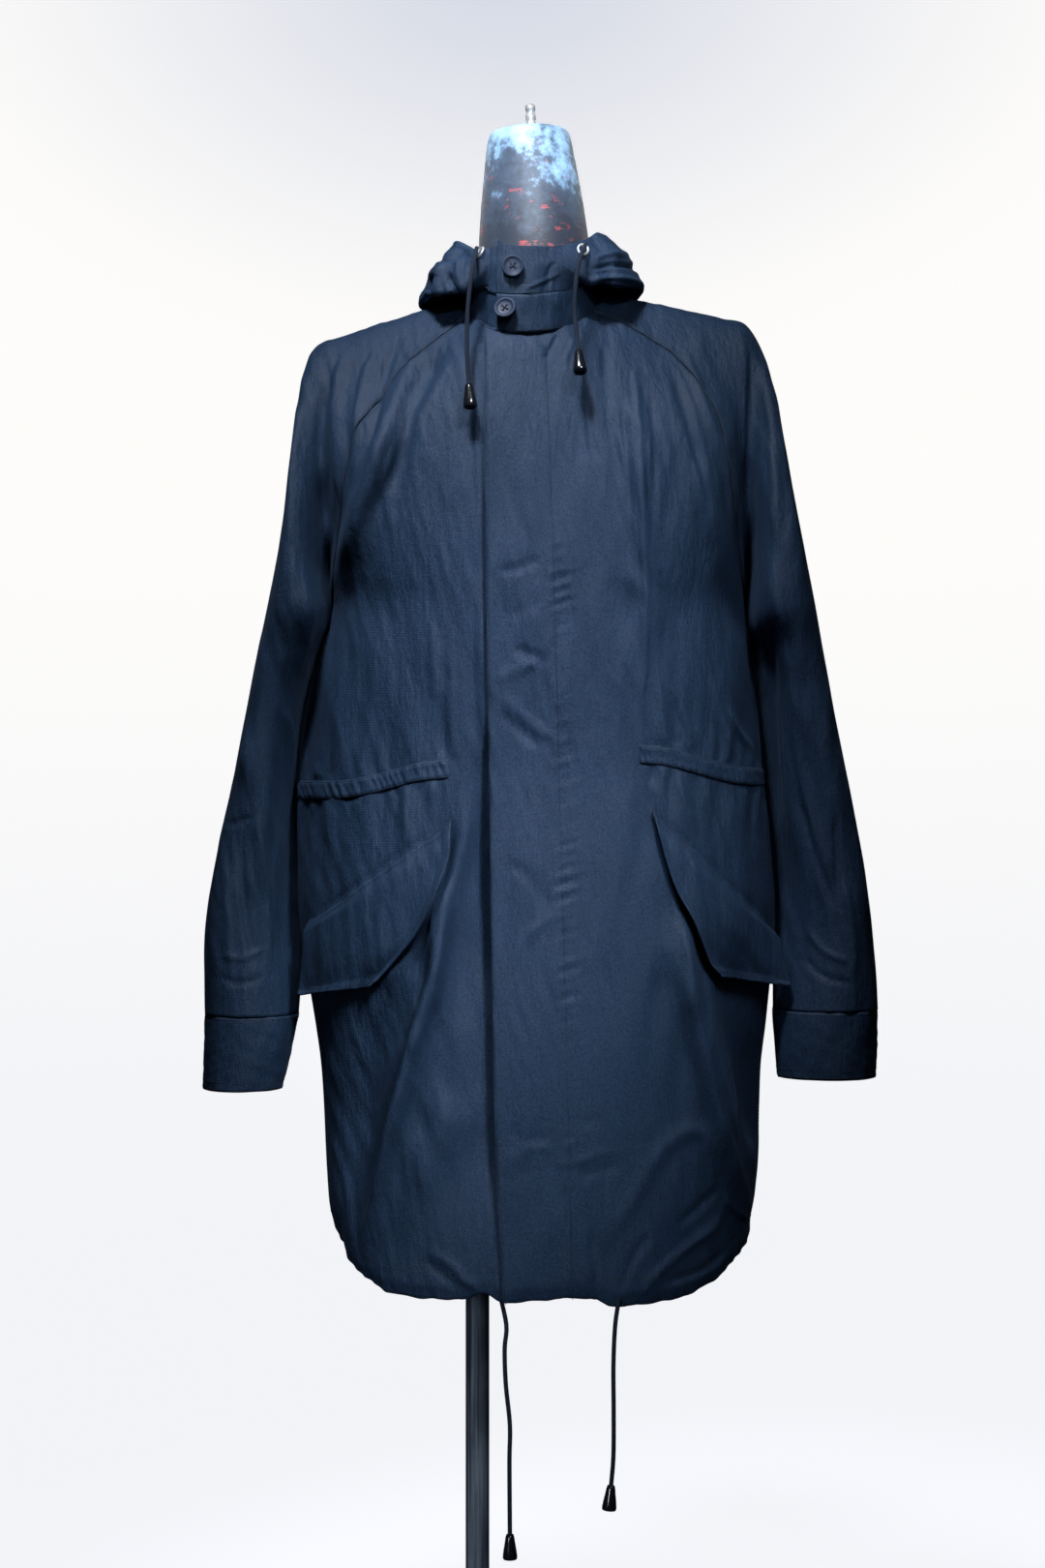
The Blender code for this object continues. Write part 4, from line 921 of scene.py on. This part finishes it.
def shell(name, places, ways, look, shaded_seams):
    """Makes a thin cloth shell of a mesh of places, its outer face there, with its cut map, and
    marks the seamed edges where painted shade darkens the cloth's colour."""
    rows, columns = places.shape[:2]
    across = np.linalg.norm(np.diff(places, axis=1), axis=2).mean(axis=0)
    down = np.linalg.norm(np.diff(places, axis=0), axis=2).mean(axis=1)
    at_u = np.concatenate([[0], np.cumsum(across)])
    at_v = np.concatenate([[0], np.cumsum(down)])
    index = np.arange(rows * columns).reshape(rows, columns)
    quads = np.stack([index[:-1, :-1], index[1:, :-1], index[1:, 1:], index[:-1, 1:]], axis=-1)
    flat = places.reshape(-1, 3)
    middle = quads[rows // 2, columns // 2]
    a, b, c = flat[middle[0]], flat[middle[1]], flat[middle[2]]
    if np.dot(np.cross(b - a, c - a), ways[rows // 2, columns // 2]) < 0:
        quads = quads[..., ::-1]
    mesh = bpy.data.meshes.new(name)
    mesh.from_pydata(flat.tolist(), [], quads.reshape(-1, 4).tolist())
    cut = mesh.uv_layers.new(name="cut")
    corners = quads.reshape(-1)
    uv = np.stack([at_u[corners % columns], at_v[corners // columns]], axis=-1)
    cut.data.foreach_set("uv", uv.reshape(-1))
    # Painted shade: the points along the seamed edges are marked 1, and the cloth's colour darkens
    # there.
    painted_seam_shade = np.zeros((rows, columns))
    for edge in shaded_seams:
        side = painted_seam_shade if edge % 2 == 0 else painted_seam_shade.T
        side[0 if edge in (0, 3) else -1] = 1.0
    mesh.attributes.new("seam", "FLOAT", "POINT").data.foreach_set("value", painted_seam_shade.reshape(-1))
    mesh.materials.append(look)
    mesh.shade_smooth()
    made = bpy.data.objects.new(name, mesh)
    scene.collection.objects.link(made)
    thick = made.modifiers.new("thickness", "SOLIDIFY")
    thick.thickness = CLOTH_THICKNESS
    thick.offset = -1
    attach(made, "root")
    return made


WARP_WAVES, WEFT_WAVES = 5200, 4400


def navy(name):
    """Navy cloth: a fine weave, uneven dye, painted shade darkening the seams, and a soft crumple.
    """
    made, shader, place, cut = finish(
        name,
        Sheen_Weight=0.04,
        Sheen_Roughness=0.4,
        Sheen_Tint=(0.45, 0.65, 1.0, 1),
        Specular_IOR_Level=0.22,
    )
    cloudy = place.noise(9.0, 6.0, Roughness=0.65)
    speck = place.noise(560.0, 3.0, Roughness=0.8)
    warp, weft = ((cut.axis(k) * w).maths("SINE") for k, w in enumerate((WARP_WAVES, WEFT_WAVES)))
    weave = warp * 0.5 + weft * 0.5
    shade = cloudy * 0.5 + speck * 2.4 + weave * 0.06 - 0.95
    # Painted shade: the colour darkens halfway to near black along the seamed edges marked on the
    # shell.
    seam = place.node("ShaderNodeAttribute", {"attribute_name": "seam"}, out=2) * 0.5
    woven = shade.blend((0.005, 0.015, 0.038), (0.024, 0.053, 0.112))
    feed(shader, "Base Color", seam.blend(woven, (0.001, 0.003, 0.008)))
    feed(shader, "Roughness", speck * 0.2 + 0.47)
    crumple = place.scaled(70.0, 70.0, 24.0).noise(1.0, 5.0, Roughness=0.62)
    crinkle = place.scaled(230.0, 230.0, 60.0).noise(1.0, 2.0)
    creased = crumple + crinkle * 0.4
    low = place.node("ShaderNodeBump", Strength=0.75, Distance=0.0030, Height=creased)
    emboss(shader, weave * 0.6 + speck * 2.5, 0.35, 0.0004, Normal=low)
    return made


cloth = navy("navy_cloth")
SIDES = ("left", "right")
AXIS = (FIGURE.x, 0.0, 1.0)
UP, DOWN, TO_RIGHT, TO_LEFT, TO_FRONT = (0, 0, 1), (0, 0, -1), (-1, 0, 0), (1, 0, 0), (0, -1, 0)
# The seam along the top of each pocket flap draws a narrow groove into the cloth beneath it.
FRONT_CREASES += tuple(
    (seen_at(wall_rows(f"pocket_flap_{side}", UP, TO_RIGHT)[0]), 3, 3, -1.6) for side in SIDES
)
PANELS = {
    # name: the start's direction, a point inside, sewn edges, mesh gap
    "back": (TO_RIGHT, AXIS, (0, 1, 3), 0.0045),
    "front_left": (TO_RIGHT, AXIS, (0, 1), 0.0028),
    "front_right": (TO_LEFT, AXIS, (0, 1), 0.0028),
}
for side, start, inside in (("left", TO_RIGHT, 0.29), ("right", TO_LEFT, -0.18)):
    for face, gap in (("front", 0.0028), ("back", 0.0045)):
        PANELS[f"sleeve_{face}_{side}"] = (start, (inside, -0.005, 1.05), (1, 3), gap)
PANEL_SINK, PANEL_REACH = 0.0008, 0.006
ARMHOLE_HEIGHT = 1.125


grids = {}


def sewn(name, places, ways, sink, held, rests_on, edges, gap, reach, shaded_seams):
    """Makes one cut piece, its sewn edges sunk to the cloth they join, in place of its CAD node."""
    for edge in edges:
        places = places - ways * (sink * edge_share(places.shape, edge, reach, gap) ** 2)[..., None]
    made = shell(name + "_panel", places, ways, cloth, shaded_seams)
    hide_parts(name)
    grids[name] = places


for name, (start, inside, edges, gap) in PANELS.items():
    places = refined(wall_rows(name, UP, start), gap)
    ways = outward(places, inside)
    if "sleeve" in name:
        # The sleeve's inner side lies against the body just below the armhole.
        x = places[..., 0] - FIGURE.x
        below = np.exp(-(((places[..., 2] - ARMHOLE_HEIGHT) / 0.022) ** 2))
        places[..., 0] -= np.sign(x) * 0.0035 * (ease((0.225 - np.abs(x)) / 0.02) * below)
    else:
        places = hemmed(places, ways)
    places = places + ways * relief(places, ways, UNDER_CREASES.get(name, ()))[..., None]
    # The last item: the end and start edges, along which shade is painted into the cloth's colour.
    cut = (PANEL_SINK, "hung", ["form_torso"], edges, gap, PANEL_REACH, (1, 3))
    sewn(name, places, ways, *cut)


# The cuffs are straight strips of the cloth, their ends overlapped. The neckband is one strip
# too, and the hood's two halves lie down on the shoulders, folded as they fell.
HOOD_CREASES = (
    # the roll at the left in the view: its open loops and the fold that winds between them
    (((451, 281), (444, 291), (440, 304), (440, 320)), 5, 6, -8.0),
    (((460, 270), (454, 282), (452, 296), (456, 310)), 4, 4, 4.0),
    (((466, 280), (465, 290), (470, 302), (474, 314)), 4, 5, -6.5),
    (((478, 262), (474, 276), (476, 292), (484, 306)), 5, 5, 4.0),
    (((489, 268), (486, 282), (486, 300), (490, 316)), 4, 5, -5.0),
    (((440, 262), (452, 268), (466, 268), (480, 262)), 5, 6, -2.8),
    (((466, 250), (480, 256), (494, 268)), 4, 5, 1.8),
    # the free edge of the tab that carries the buttons
    (((511, 240), (506, 262), (503, 300), (502, 360)), 9, 2.5, -5.0),
    # the roll at the right: the dark gap beneath it and the folds above
    (((606, 304), (628, 300), (650, 303), (668, 310)), 4, 8, -5.0),
    (((598, 296), (622, 288), (648, 289), (672, 299)), 4, 6, 3.6),
    (((606, 281), (632, 274), (656, 277), (670, 286)), 4, 5, -2.6),
    (((612, 268), (634, 262), (656, 266)), 4, 5, 2.0),
    (((640, 249), (648, 262), (656, 280)), 5, 5, 1.6),
    (((575, 268), (568, 282), (566, 300)), 6, 5, -1.8),
    (((540, 300), (560, 291), (582, 281)), 4, 4, 1.2),
)
TRIMS = {
    # name: the top's direction, the start's direction, a point inside, sewn edges, rests on
    "cuff_left": (UP, TO_RIGHT, (0.32, -0.02, 0.74), (0,), ()),
    "cuff_right": (UP, TO_LEFT, (-0.22, -0.02, 0.74), (0,), ()),
    "neckband": (UP, TO_RIGHT, (0.05, -0.01, 1.43), (0, 2), ()),
    "hood_left": (DOWN, TO_FRONT, None, (0, 3), ("back_panel",)),
    "hood_right": (DOWN, TO_FRONT, None, (0, 3), ("back_panel",)),
}
TRIM_GAP, HOOD_GAP = 0.0024, 0.0044
TRIM_SINK, TRIM_REACH = 0.0005, 0.007
HOOD_FACETS = (11, 15)
LAP_DROP, LAP_RISE, LAP_REACH = 0.0040, 0.0010, 0.012
for name, (top, start, inside, edges, rests_on) in TRIMS.items():
    hood = "hood" in name
    gap = HOOD_GAP if hood else TRIM_GAP
    places = refined(wall_rows(name, top, start, HOOD_FACETS if hood else None), gap)
    ways = outward(places, inside)
    rise = ripples(places[..., [0, 2]], 7, 0.030, 0.0009 if hood else 0.0005, 1.0)
    rise += ripples(places[..., [0, 2]], 9, 0.012, 0.0003, 1.4)
    if hood or name == "neckband":
        spots = seen_at(places)
        facing = ways[..., 1] < 0.1
        for path, left, right, height in HOOD_CREASES:
            rise += crease(spots, path, left, right, height) * facing
    if name == "neckband":
        # Its lower edge is turned in over the tops of the fronts and the fly.
        lap = edge_share(places.shape, 2, LAP_REACH, gap)
        places[..., 2] -= LAP_DROP * lap
        rise += LAP_RISE * lap
    places = places + ways * rise[..., None]
    sewn(name, places, ways, TRIM_SINK, "hung", rests_on, edges, gap, TRIM_REACH, ())


# The storm fly, the waist's tunnel and the pocket flaps are sewn onto the body's cloth. They
# follow its folds, and the tunnel is ruched over its cord like a soft rope.
LAID_ON = {
    # name: the top's direction, the start's, sewn edges, lifted edges, sink, mesh gap, rests on
    "storm_fly": (UP, TO_RIGHT, (0, 1), (3,), 0.0012, 0.0026, "front_left"),
    "waist_channel_left": ((0.2, 0, 1), TO_RIGHT, (0, 1, 2, 3), (), 0.0014, 0.0013, "front_left"),
    "waist_channel_right": ((-0.2, 0, 1), TO_LEFT, (0, 1, 2, 3), (), 0.0014, 0.0013, "front_right"),
    "waist_channel_back": (UP, TO_RIGHT, (0, 2), (), 0.0014, 0.0016, "back"),
    "pocket_flap_left": (UP, TO_RIGHT, (0,), (2, 3), 0.0010, 0.0024, "front_left"),
    "pocket_flap_right": (UP, TO_LEFT, (0,), (2, 3), 0.0010, 0.0024, "front_right"),
}
LAID_REACH = 0.005
LIFT, LIFT_REACH = 0.0026, 0.016
FLAP_CORNER = 0.010
# How far a laid-on piece sinks towards a sewn edge: the edge, the depth and the reach.
SETTLING = {
    "storm_fly": ((1, 0.0026, 0.045), (0, 0.0016, 0.030)),
    "pocket_flap": ((0, 0.0038, 0.032),),
}


def cornered(places, radius, gap):
    """The places of a flap with its two lower corners rounded."""
    rows, columns = places.shape[:2]
    reach = radius / gap
    i, j = np.indices((rows, columns)).astype(float)
    for mirrored in (False, True):
        a = i - (rows - 1 - reach)
        b = (reach - j) if not mirrored else j - (columns - 1 - reach)
        corner = (a > 0) & (b > 0)
        squash = np.maximum(a, b) / np.maximum(np.hypot(a, b), 1e-9)
        i = np.where(corner, rows - 1 - reach + a * squash, i)
        pulled = (reach - b * squash) if not mirrored else columns - 1 - reach + b * squash
        j = np.where(corner, pulled, j)
    i0, j0 = np.minimum(i.astype(int), rows - 2), np.minimum(j.astype(int), columns - 2)
    u, v = (i - i0)[..., None], (j - j0)[..., None]
    upper = places[i0, j0] * (1 - v) + places[i0, j0 + 1] * v
    lower = places[i0 + 1, j0] * (1 - v) + places[i0 + 1, j0 + 1] * v
    return upper * (1 - u) + lower * u


for name, (top, start, edges, lifted, sink, gap, rests_on) in LAID_ON.items():
    places = refined(wall_rows(name, top, start), gap)
    if "flap" in name:
        places = cornered(places, FLAP_CORNER, gap)
    ways = outward(places, AXIS)
    if name == "storm_fly":
        places = hemmed(places, ways)
        places[:, -1] += (0.0007, 0, 0)
    rise = relief(places, ways)
    for edge in lifted:
        rise = rise + LIFT * edge_share(places.shape, edge, LIFT_REACH, gap)
    for kind, settled in SETTLING.items():
        for edge, depth, reach in settled if kind in name else ():
            rise = rise - depth * edge_share(places.shape, edge, reach, gap)
    if "waist" in name:
        x = places[..., 0] + 0.35 * (places[..., 2] - tunnel_line(places))
        ruche = wavering(x, 0.00098, 3.0, 0.013) * (0.6 + 0.4 * np.sin(x / 0.0071))
        ruche += 0.5 * wavering(x, 0.00171, 2.0, 0.022)
        across = np.linspace(0, math.pi, places.shape[0])[:, None]
        rise = rise + (0.0007 * ruche - 0.0004) * np.sin(across) - 0.0006
        if name != "waist_channel_back":
            rise -= 0.0008 * edge_share(places.shape, 3, 0.045, gap) * np.sin(across)
    places = places + ways * rise[..., None]
    held = "gathered" if "waist" in name else "hung"
    # The edges along which shade is painted into the cloth's colour: the fly's end alone, and every
    # sewn edge of the others.
    shaded_seams = (1,) if name == "storm_fly" else edges
    cut = (sink, held, [rests_on + "_panel"], edges, gap, LAID_REACH, shaded_seams)
    sewn(name, places, ways, *cut)


# The seams are topstitched with navy thread, 8 stitches to the inch, a little inside each edge.
# The stitches are small tubes laid along the cloth at an even pitch.
STITCH_PITCH = 0.0032
STITCH_LENGTH = 0.0023
STITCH_RADIUS = 0.00032
STITCH_SIDES = 5
STITCHED = (
    # piece, edge (0 top, 1 end, 2 bottom, 3 start), distances in from it
    ("storm_fly", 3, 0.0022),
    ("storm_fly", 1, 0.0022),
    ("storm_fly", 0, 0.0022),
    ("front_{side}", 0, 0.0022),
    ("front_{side}", 1, 0.0030),
    ("front_{side}", 2, 0.0250),
    ("back", 2, 0.0250),
    ("back", 1, 0.0030),
    ("back", 3, 0.0030),
    ("sleeve_front_{side}", 1, 0.0025),
    ("sleeve_front_{side}", 3, 0.0025),
    ("sleeve_back_{side}", 1, 0.0025),
    ("cuff_{side}", 0, 0.0022),
    ("cuff_{side}", 2, 0.0022, 0.0082),
    ("neckband", 2, 0.0022),
    ("hood_{side}", 3, 0.0100),
    ("pocket_flap_{side}", 0, 0.0020, 0.0080),
    ("pocket_flap_{side}", 2, 0.0060),
    ("waist_channel_{side}", 0, 0.0016),
    ("waist_channel_{side}", 2, 0.0016),
    ("waist_channel_back", 0, 0.0016),
    ("waist_channel_back", 2, 0.0016),
)


def edge_line(places, edge, inset):
    """The line on a mesh of places that runs along one edge, inset into the cloth."""
    grid = places if edge % 2 == 0 else np.swapaxes(places, 0, 1)
    if edge in (1, 2):
        grid = grid[::-1]
    step = np.linalg.norm(np.diff(grid, axis=0), axis=2)
    runs = np.concatenate([np.zeros((1, grid.shape[1])), np.cumsum(step, axis=0)])
    k = np.minimum((runs < inset).sum(axis=0) - 1, len(grid) - 2)
    span = np.arange(grid.shape[1])
    share = (inset - runs[k, span]) / (runs[k + 1, span] - runs[k, span])
    return grid[k, span] + (grid[k + 1, span] - grid[k, span]) * share[:, None]


def stitch_tree():
    """Lays stitches of a length at a pitch along the edges of a mesh, and gives them a look."""
    tree = bpy.data.node_groups.new("topstitching", "GeometryNodeTree")
    face = tree.interface
    face.new_socket("Lines", in_out="INPUT", socket_type="NodeSocketGeometry")
    for label in ("Pitch", "Stitch Length", "Thread Radius"):
        face.new_socket(label, in_out="INPUT", socket_type="NodeSocketFloat")
    face.new_socket("Thread", in_out="INPUT", socket_type="NodeSocketMaterial")
    face.new_socket("Stitches", in_out="OUTPUT", socket_type="NodeSocketGeometry")
    kinds = {
        "given": "NodeGroupInput",
        "curve": "GeometryNodeMeshToCurve",
        "points": "GeometryNodeCurveToPoints",
        "rod": "GeometryNodeMeshCylinder",
        "align": "FunctionNodeAlignRotationToVector",
        "lay": "GeometryNodeInstanceOnPoints",
        "real": "GeometryNodeRealizeInstances",
        "paint": "GeometryNodeSetMaterial",
        "made": "NodeGroupOutput",
    }
    nodes = {name: tree.nodes.new(kind) for name, kind in kinds.items()}
    nodes["points"].mode = "LENGTH"
    nodes["rod"].inputs["Vertices"].default_value = STITCH_SIDES
    nodes["align"].axis = "Z"
    for start, out, end, into in (
        ("given", "Lines", "curve", "Mesh"),
        ("curve", "Curve", "points", "Curve"),
        ("given", "Pitch", "points", "Length"),
        ("given", "Stitch Length", "rod", "Depth"),
        ("given", "Thread Radius", "rod", "Radius"),
        ("points", "Tangent", "align", "Vector"),
        ("points", "Points", "lay", "Points"),
        ("rod", "Mesh", "lay", "Instance"),
        ("align", "Rotation", "lay", "Rotation"),
        ("lay", "Instances", "real", "Geometry"),
        ("real", "Geometry", "paint", "Geometry"),
        ("given", "Thread", "paint", "Material"),
        ("paint", "Geometry", "made", "Stitches"),
    ):
        tree.links.new(nodes[start].outputs[out], nodes[end].inputs[into])
    return tree


def thread_look(name):
    """Matt sewing thread, near black: partly its own navy, partly painted shade for the dark seam
    lines.
    """
    made, shader, place, _ = finish(name, Roughness=0.8)
    lint = place.noise(900.0, 2.0)
    # Darker than the cloth: the navy of the thread, with painted shade along the seams.
    feed(shader, "Base Color", lint.blend((0.002, 0.005, 0.012), (0.006, 0.013, 0.028)))
    emboss(shader, lint, 0.3, 0.0001)
    return made


lines, links = [], []
for row, edge, *insets in STITCHED:
    for name in dict.fromkeys(row.format(side=side) for side in SIDES):
        for inset in insets:
            line = edge_line(grids[name], edge, inset)
            first = len(lines)
            lines += line.tolist()
            links += [(first + k, first + k + 1) for k in range(len(line) - 1)]
line_mesh = bpy.data.meshes.new("stitch_lines")
line_mesh.from_pydata(lines, links, [])
stitch_lines = bpy.data.objects.new("stitch_lines", line_mesh)
scene.collection.objects.link(stitch_lines)
laying = stitch_lines.modifiers.new("topstitching", "NODES")
laying.node_group = stitch_tree()
thread = thread_look("navy_thread_and_seam_shade")
sizes = {"Pitch": STITCH_PITCH, "Stitch Length": STITCH_LENGTH, "Thread Radius": STITCH_RADIUS}
for item in laying.node_group.interface.items_tree:
    if item.name in sizes:
        laying[item.identifier] = sizes[item.name]
    elif item.name == "Thread":
        laying[item.identifier] = thread
evaluated = stitch_lines.evaluated_get(bpy.context.evaluated_depsgraph_get())
stitch_mesh = bpy.data.meshes.new_from_object(evaluated)
stitch_mesh.name = "topstitching"
bpy.data.objects.remove(stitch_lines)
topstitching = bpy.data.objects.new("topstitching", stitch_mesh)
scene.collection.objects.link(topstitching)
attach(topstitching, "root")


# Two navy buttons close the collar, moulded with a rim and four holes and sewn on with thread.
# Two bright pressed eyelets let the hood's cord out at the front of the collar.
def seat(node):
    """The middle of a small flat CAD node and the way it faces, out to the front."""
    spots = np.array([vert.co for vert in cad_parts[node].data.vertices])
    middle = (spots.max(axis=0) + spots.min(axis=0)) / 2
    way = np.linalg.svd(spots - spots.mean(axis=0))[2][2]
    return Vector(middle), Vector(way if way[1] < 0 else -way)


BUTTON_SECTION = (
    (-0.0017, 0.0078),
    (-0.0012, 0.0091),
    (-0.0002, 0.0099),
    (0.0008, 0.0100),
    (0.0015, 0.0097),
    (0.0018, 0.0090),
    (0.0018, 0.0083),
    (0.0014, 0.0077),
    (0.0009, 0.0070),
    (0.0006, 0.0060),
    (0.0005, 0.0040),
    (0.0005, 0.0010),
)
BUTTON_SIDES = 48
HOLE_OUT, HOLE_RADIUS, HOLE_DEPTH, HOLE_SIDES = 0.0021, 0.00085, 0.01, 12
THREAD_RADIUS, THREAD_SIDES, THREAD_GAP = 0.00035, 8, 0.0005
THREAD_IN, THREAD_OUT = 0.0012, 0.0009
HOLE_CORNERS = ((1, 1), (-1, 1), (-1, -1), (1, -1))
button_look = moulded("navy_button", (0.015, 0.026, 0.056), 0.48, 0.0, 0.25)
for name in ("collar_button_top", "collar_button_bottom"):
    middle, way = seat(name)
    button = turned(name + "_moulded", BUTTON_SECTION, BUTTON_SIDES, button_look, middle, way)
    turn = Vector((0, 0, 1)).rotation_difference(way).to_matrix()
    corners = [Vector((x * HOLE_OUT, y * HOLE_OUT, 0)) for x, y in HOLE_CORNERS]
    spots = [turn @ corner for corner in corners]
    holes = bmesh.new()
    for spot in spots:
        place = turn.to_4x4()
        place.translation = middle + spot
        bmesh.ops.create_cone(
            holes,
            cap_ends=True,
            segments=HOLE_SIDES,
            radius1=HOLE_RADIUS,
            radius2=HOLE_RADIUS,
            depth=HOLE_DEPTH,
            matrix=place,
        )
    cutter_mesh = bpy.data.meshes.new("holes")
    holes.to_mesh(cutter_mesh)
    holes.free()
    cutter = bpy.data.objects.new("holes", cutter_mesh)
    scene.collection.objects.link(cutter)
    drill = button.modifiers.new("holes", "BOOLEAN")
    drill.object = cutter
    drill.solver = "EXACT"
    evaluated = button.evaluated_get(bpy.context.evaluated_depsgraph_get())
    drilled = bpy.data.meshes.new_from_object(evaluated)
    button.modifiers.remove(drill)
    button.data = drilled
    bpy.data.objects.remove(cutter)
    low, high = way * -THREAD_IN, way * THREAD_OUT
    for a, b in ((0, 2), (1, 3)):
        run = [spots[a] + low, spots[a] + high, spots[b] + high, spots[b] + low]
        path, _ = even_path([middle + spot for spot in run], THREAD_GAP)
        sewing = tube(f"{name}_thread_{a}", path, THREAD_RADIUS, THREAD_SIDES, thread)
    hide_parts(name)

EYELET_SECTION = (
    (-0.0006, 0.0038),
    (-0.0006, 0.0050),
    (-0.0002, 0.0057),
    (0.0003, 0.0057),
    (0.0009, 0.0053),
    (0.0011, 0.0047),
    (0.0008, 0.0041),
    (0.0003, 0.0038),
)
EYELET_SIDES = 40
eyelet_look = bright("pressed_eyelet", (0.95, 0.96, 0.98), 0.22)
for name in ("eyelet_left", "eyelet_right"):
    middle, way = seat(name)
    if name == "eyelet_left":
        # The cloth round this one is turned a little more to the front.
        way = (way * 0.6 + Vector((0, -1, 0.1))).normalized()
    form = (EYELET_SECTION, EYELET_SIDES, eyelet_look)
    eyelet = turned(name + "_ring", *form, middle, way, ring=True)
    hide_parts(name)


# The photograph's setting: a pale floor that curves up into a pale wall all round. Both glow
# by themselves, so they stay plain, and the garment is lit by soft lamps from above in front.
def paper(name):
    """Pale paper, greyer towards the top middle of the view in a painted shade, and a little darker
    and cooler at the floor.
    """
    made, shader, place, _ = finish(
        name,
        Base_Color=(0.35, 0.36, 0.38, 1),
        Roughness=0.95,
        Specular_IOR_Level=0.0,
        Emission_Strength=1.0,
    )
    # Painted shade: the glow greys over a patch round the top middle of the view.
    spot = place.scaled(0.5, 0.0, 0.8, Location=(0.0, 0.0, -2.55))
    far = spot.node("ShaderNodeVectorMath", {"operation": "LENGTH"}, out=1, n0=spot)
    share = far.share(-0.15, 0.95, {"interpolation_type": "SMOOTHSTEP"})
    wall = place.axis(2).share(0.0, 1.6).blend((0.885, 0.895, 0.930), (0.985, 0.975, 0.958))
    feed(shader, "Emission Color", share.blend((0.650, 0.682, 0.775), wall))
    return made


FLOOR_RADIUS, ROOM_CURVE, ROOM_HEIGHT, ROOM_SIDES = 3.6, 1.2, 8.0, 72
turns = [(ROOM_CURVE * math.sin(a), ROOM_CURVE * math.cos(a)) for a in np.radians(range(9, 91, 9))]
ROOM = [(0.0, 0.0), (FLOOR_RADIUS, 0.0)]
ROOM += [(FLOOR_RADIUS + out, ROOM_CURVE - up) for out, up in turns]
ROOM += [(FLOOR_RADIUS + ROOM_CURVE, ROOM_HEIGHT)]
ROOM += [(FLOOR_RADIUS + out, ROOM_HEIGHT + up) for up, out in turns]
ROOM += [(0.0, ROOM_HEIGHT + ROOM_CURVE)]
stage_mesh = bpy.data.meshes.new("studio_shell")
round_room = [2 * math.pi * k / ROOM_SIDES for k in range(ROOM_SIDES)]
corners = [(r * math.cos(a), r * math.sin(a), z) for r, z in ROOM for a in round_room]
bands = []
for low in range(0, len(corners) - ROOM_SIDES, ROOM_SIDES):
    for k in range(ROOM_SIDES):
        n = (k + 1) % ROOM_SIDES
        bands.append((low + k, low + ROOM_SIDES + k, low + ROOM_SIDES + n, low + n))
stage_mesh.from_pydata(corners, [], bands)
stage_mesh.materials.append(paper("studio_paper"))
stage_mesh.shade_smooth()
backdrop = bpy.data.objects.new("studio_shell", stage_mesh)
scene.collection.objects.link(backdrop)
backdrop.visible_diffuse = backdrop.visible_glossy = backdrop.visible_shadow = False

world = bpy.data.worlds.new("studio")
scene.world = world
world.use_nodes = True
air = world.node_tree.nodes["Background"].inputs
air["Color"].default_value = (0.80, 0.90, 1.0, 1)
air["Strength"].default_value = 0.005


# The lamps: place, target, size, watts, colour and spread. Three keys from above light the
# chest, the waist and the skirt. One behind rims the shoulders, and is kept out of reflections.
COOL, PALE, BLUE, SOFT = (0.93, 0.965, 1.0), (0.95, 0.98, 1.0), (0.90, 0.95, 1.0), (0.94, 0.97, 1.0)
LAMPS = {
    "top_key": ((-0.24, -0.88, 2.68), (0.02, -0.08, 1.31), (0.30, 0.25), 1.35, COOL, 30),
    "mid_key": ((0.46, -1.08, 2.10), (0.03, -0.12, 1.03), (0.22, 0.22), 0.48, COOL, 22),
    "low_key": ((0.46, -1.22, 1.86), (0.02, -0.13, 0.72), (0.30, 0.25), 0.26, COOL, 17),
    "neck_key": ((0.10, -1.50, 1.95), (0.05, 0.00, 1.56), (0.20, 0.20), 0.26, PALE, 9),
    "pole_key": ((-0.7, -1.6, 0.7), (0.04, 0.00, 0.30), (0.2, 0.5), 0.25, BLUE, 24),
    "fill": ((0.9, -2.4, 1.6), (0.07, 0.0, 1.05), (1.0, 1.0), 0.10, BLUE, 60),
    "behind": ((0.30, 2.3, 1.9), (0.07, 0.0, 1.1), (1.6, 1.2), 5.0, SOFT, 60),
}
for name, (place, target, size, power, colour, spread) in LAMPS.items():
    light = bpy.data.lights.new(name, "AREA")
    light.shape = "RECTANGLE"
    light.size, light.size_y = size
    light.energy = power
    light.color = colour
    light.spread = math.radians(spread)
    made = bpy.data.objects.new(name, light)
    made.location = place
    made.rotation_euler = (Vector(target) - Vector(place)).to_track_quat("-Z", "Y").to_euler()
    made.visible_camera = False
    made.visible_glossy = name != "behind"
    scene.collection.objects.link(made)
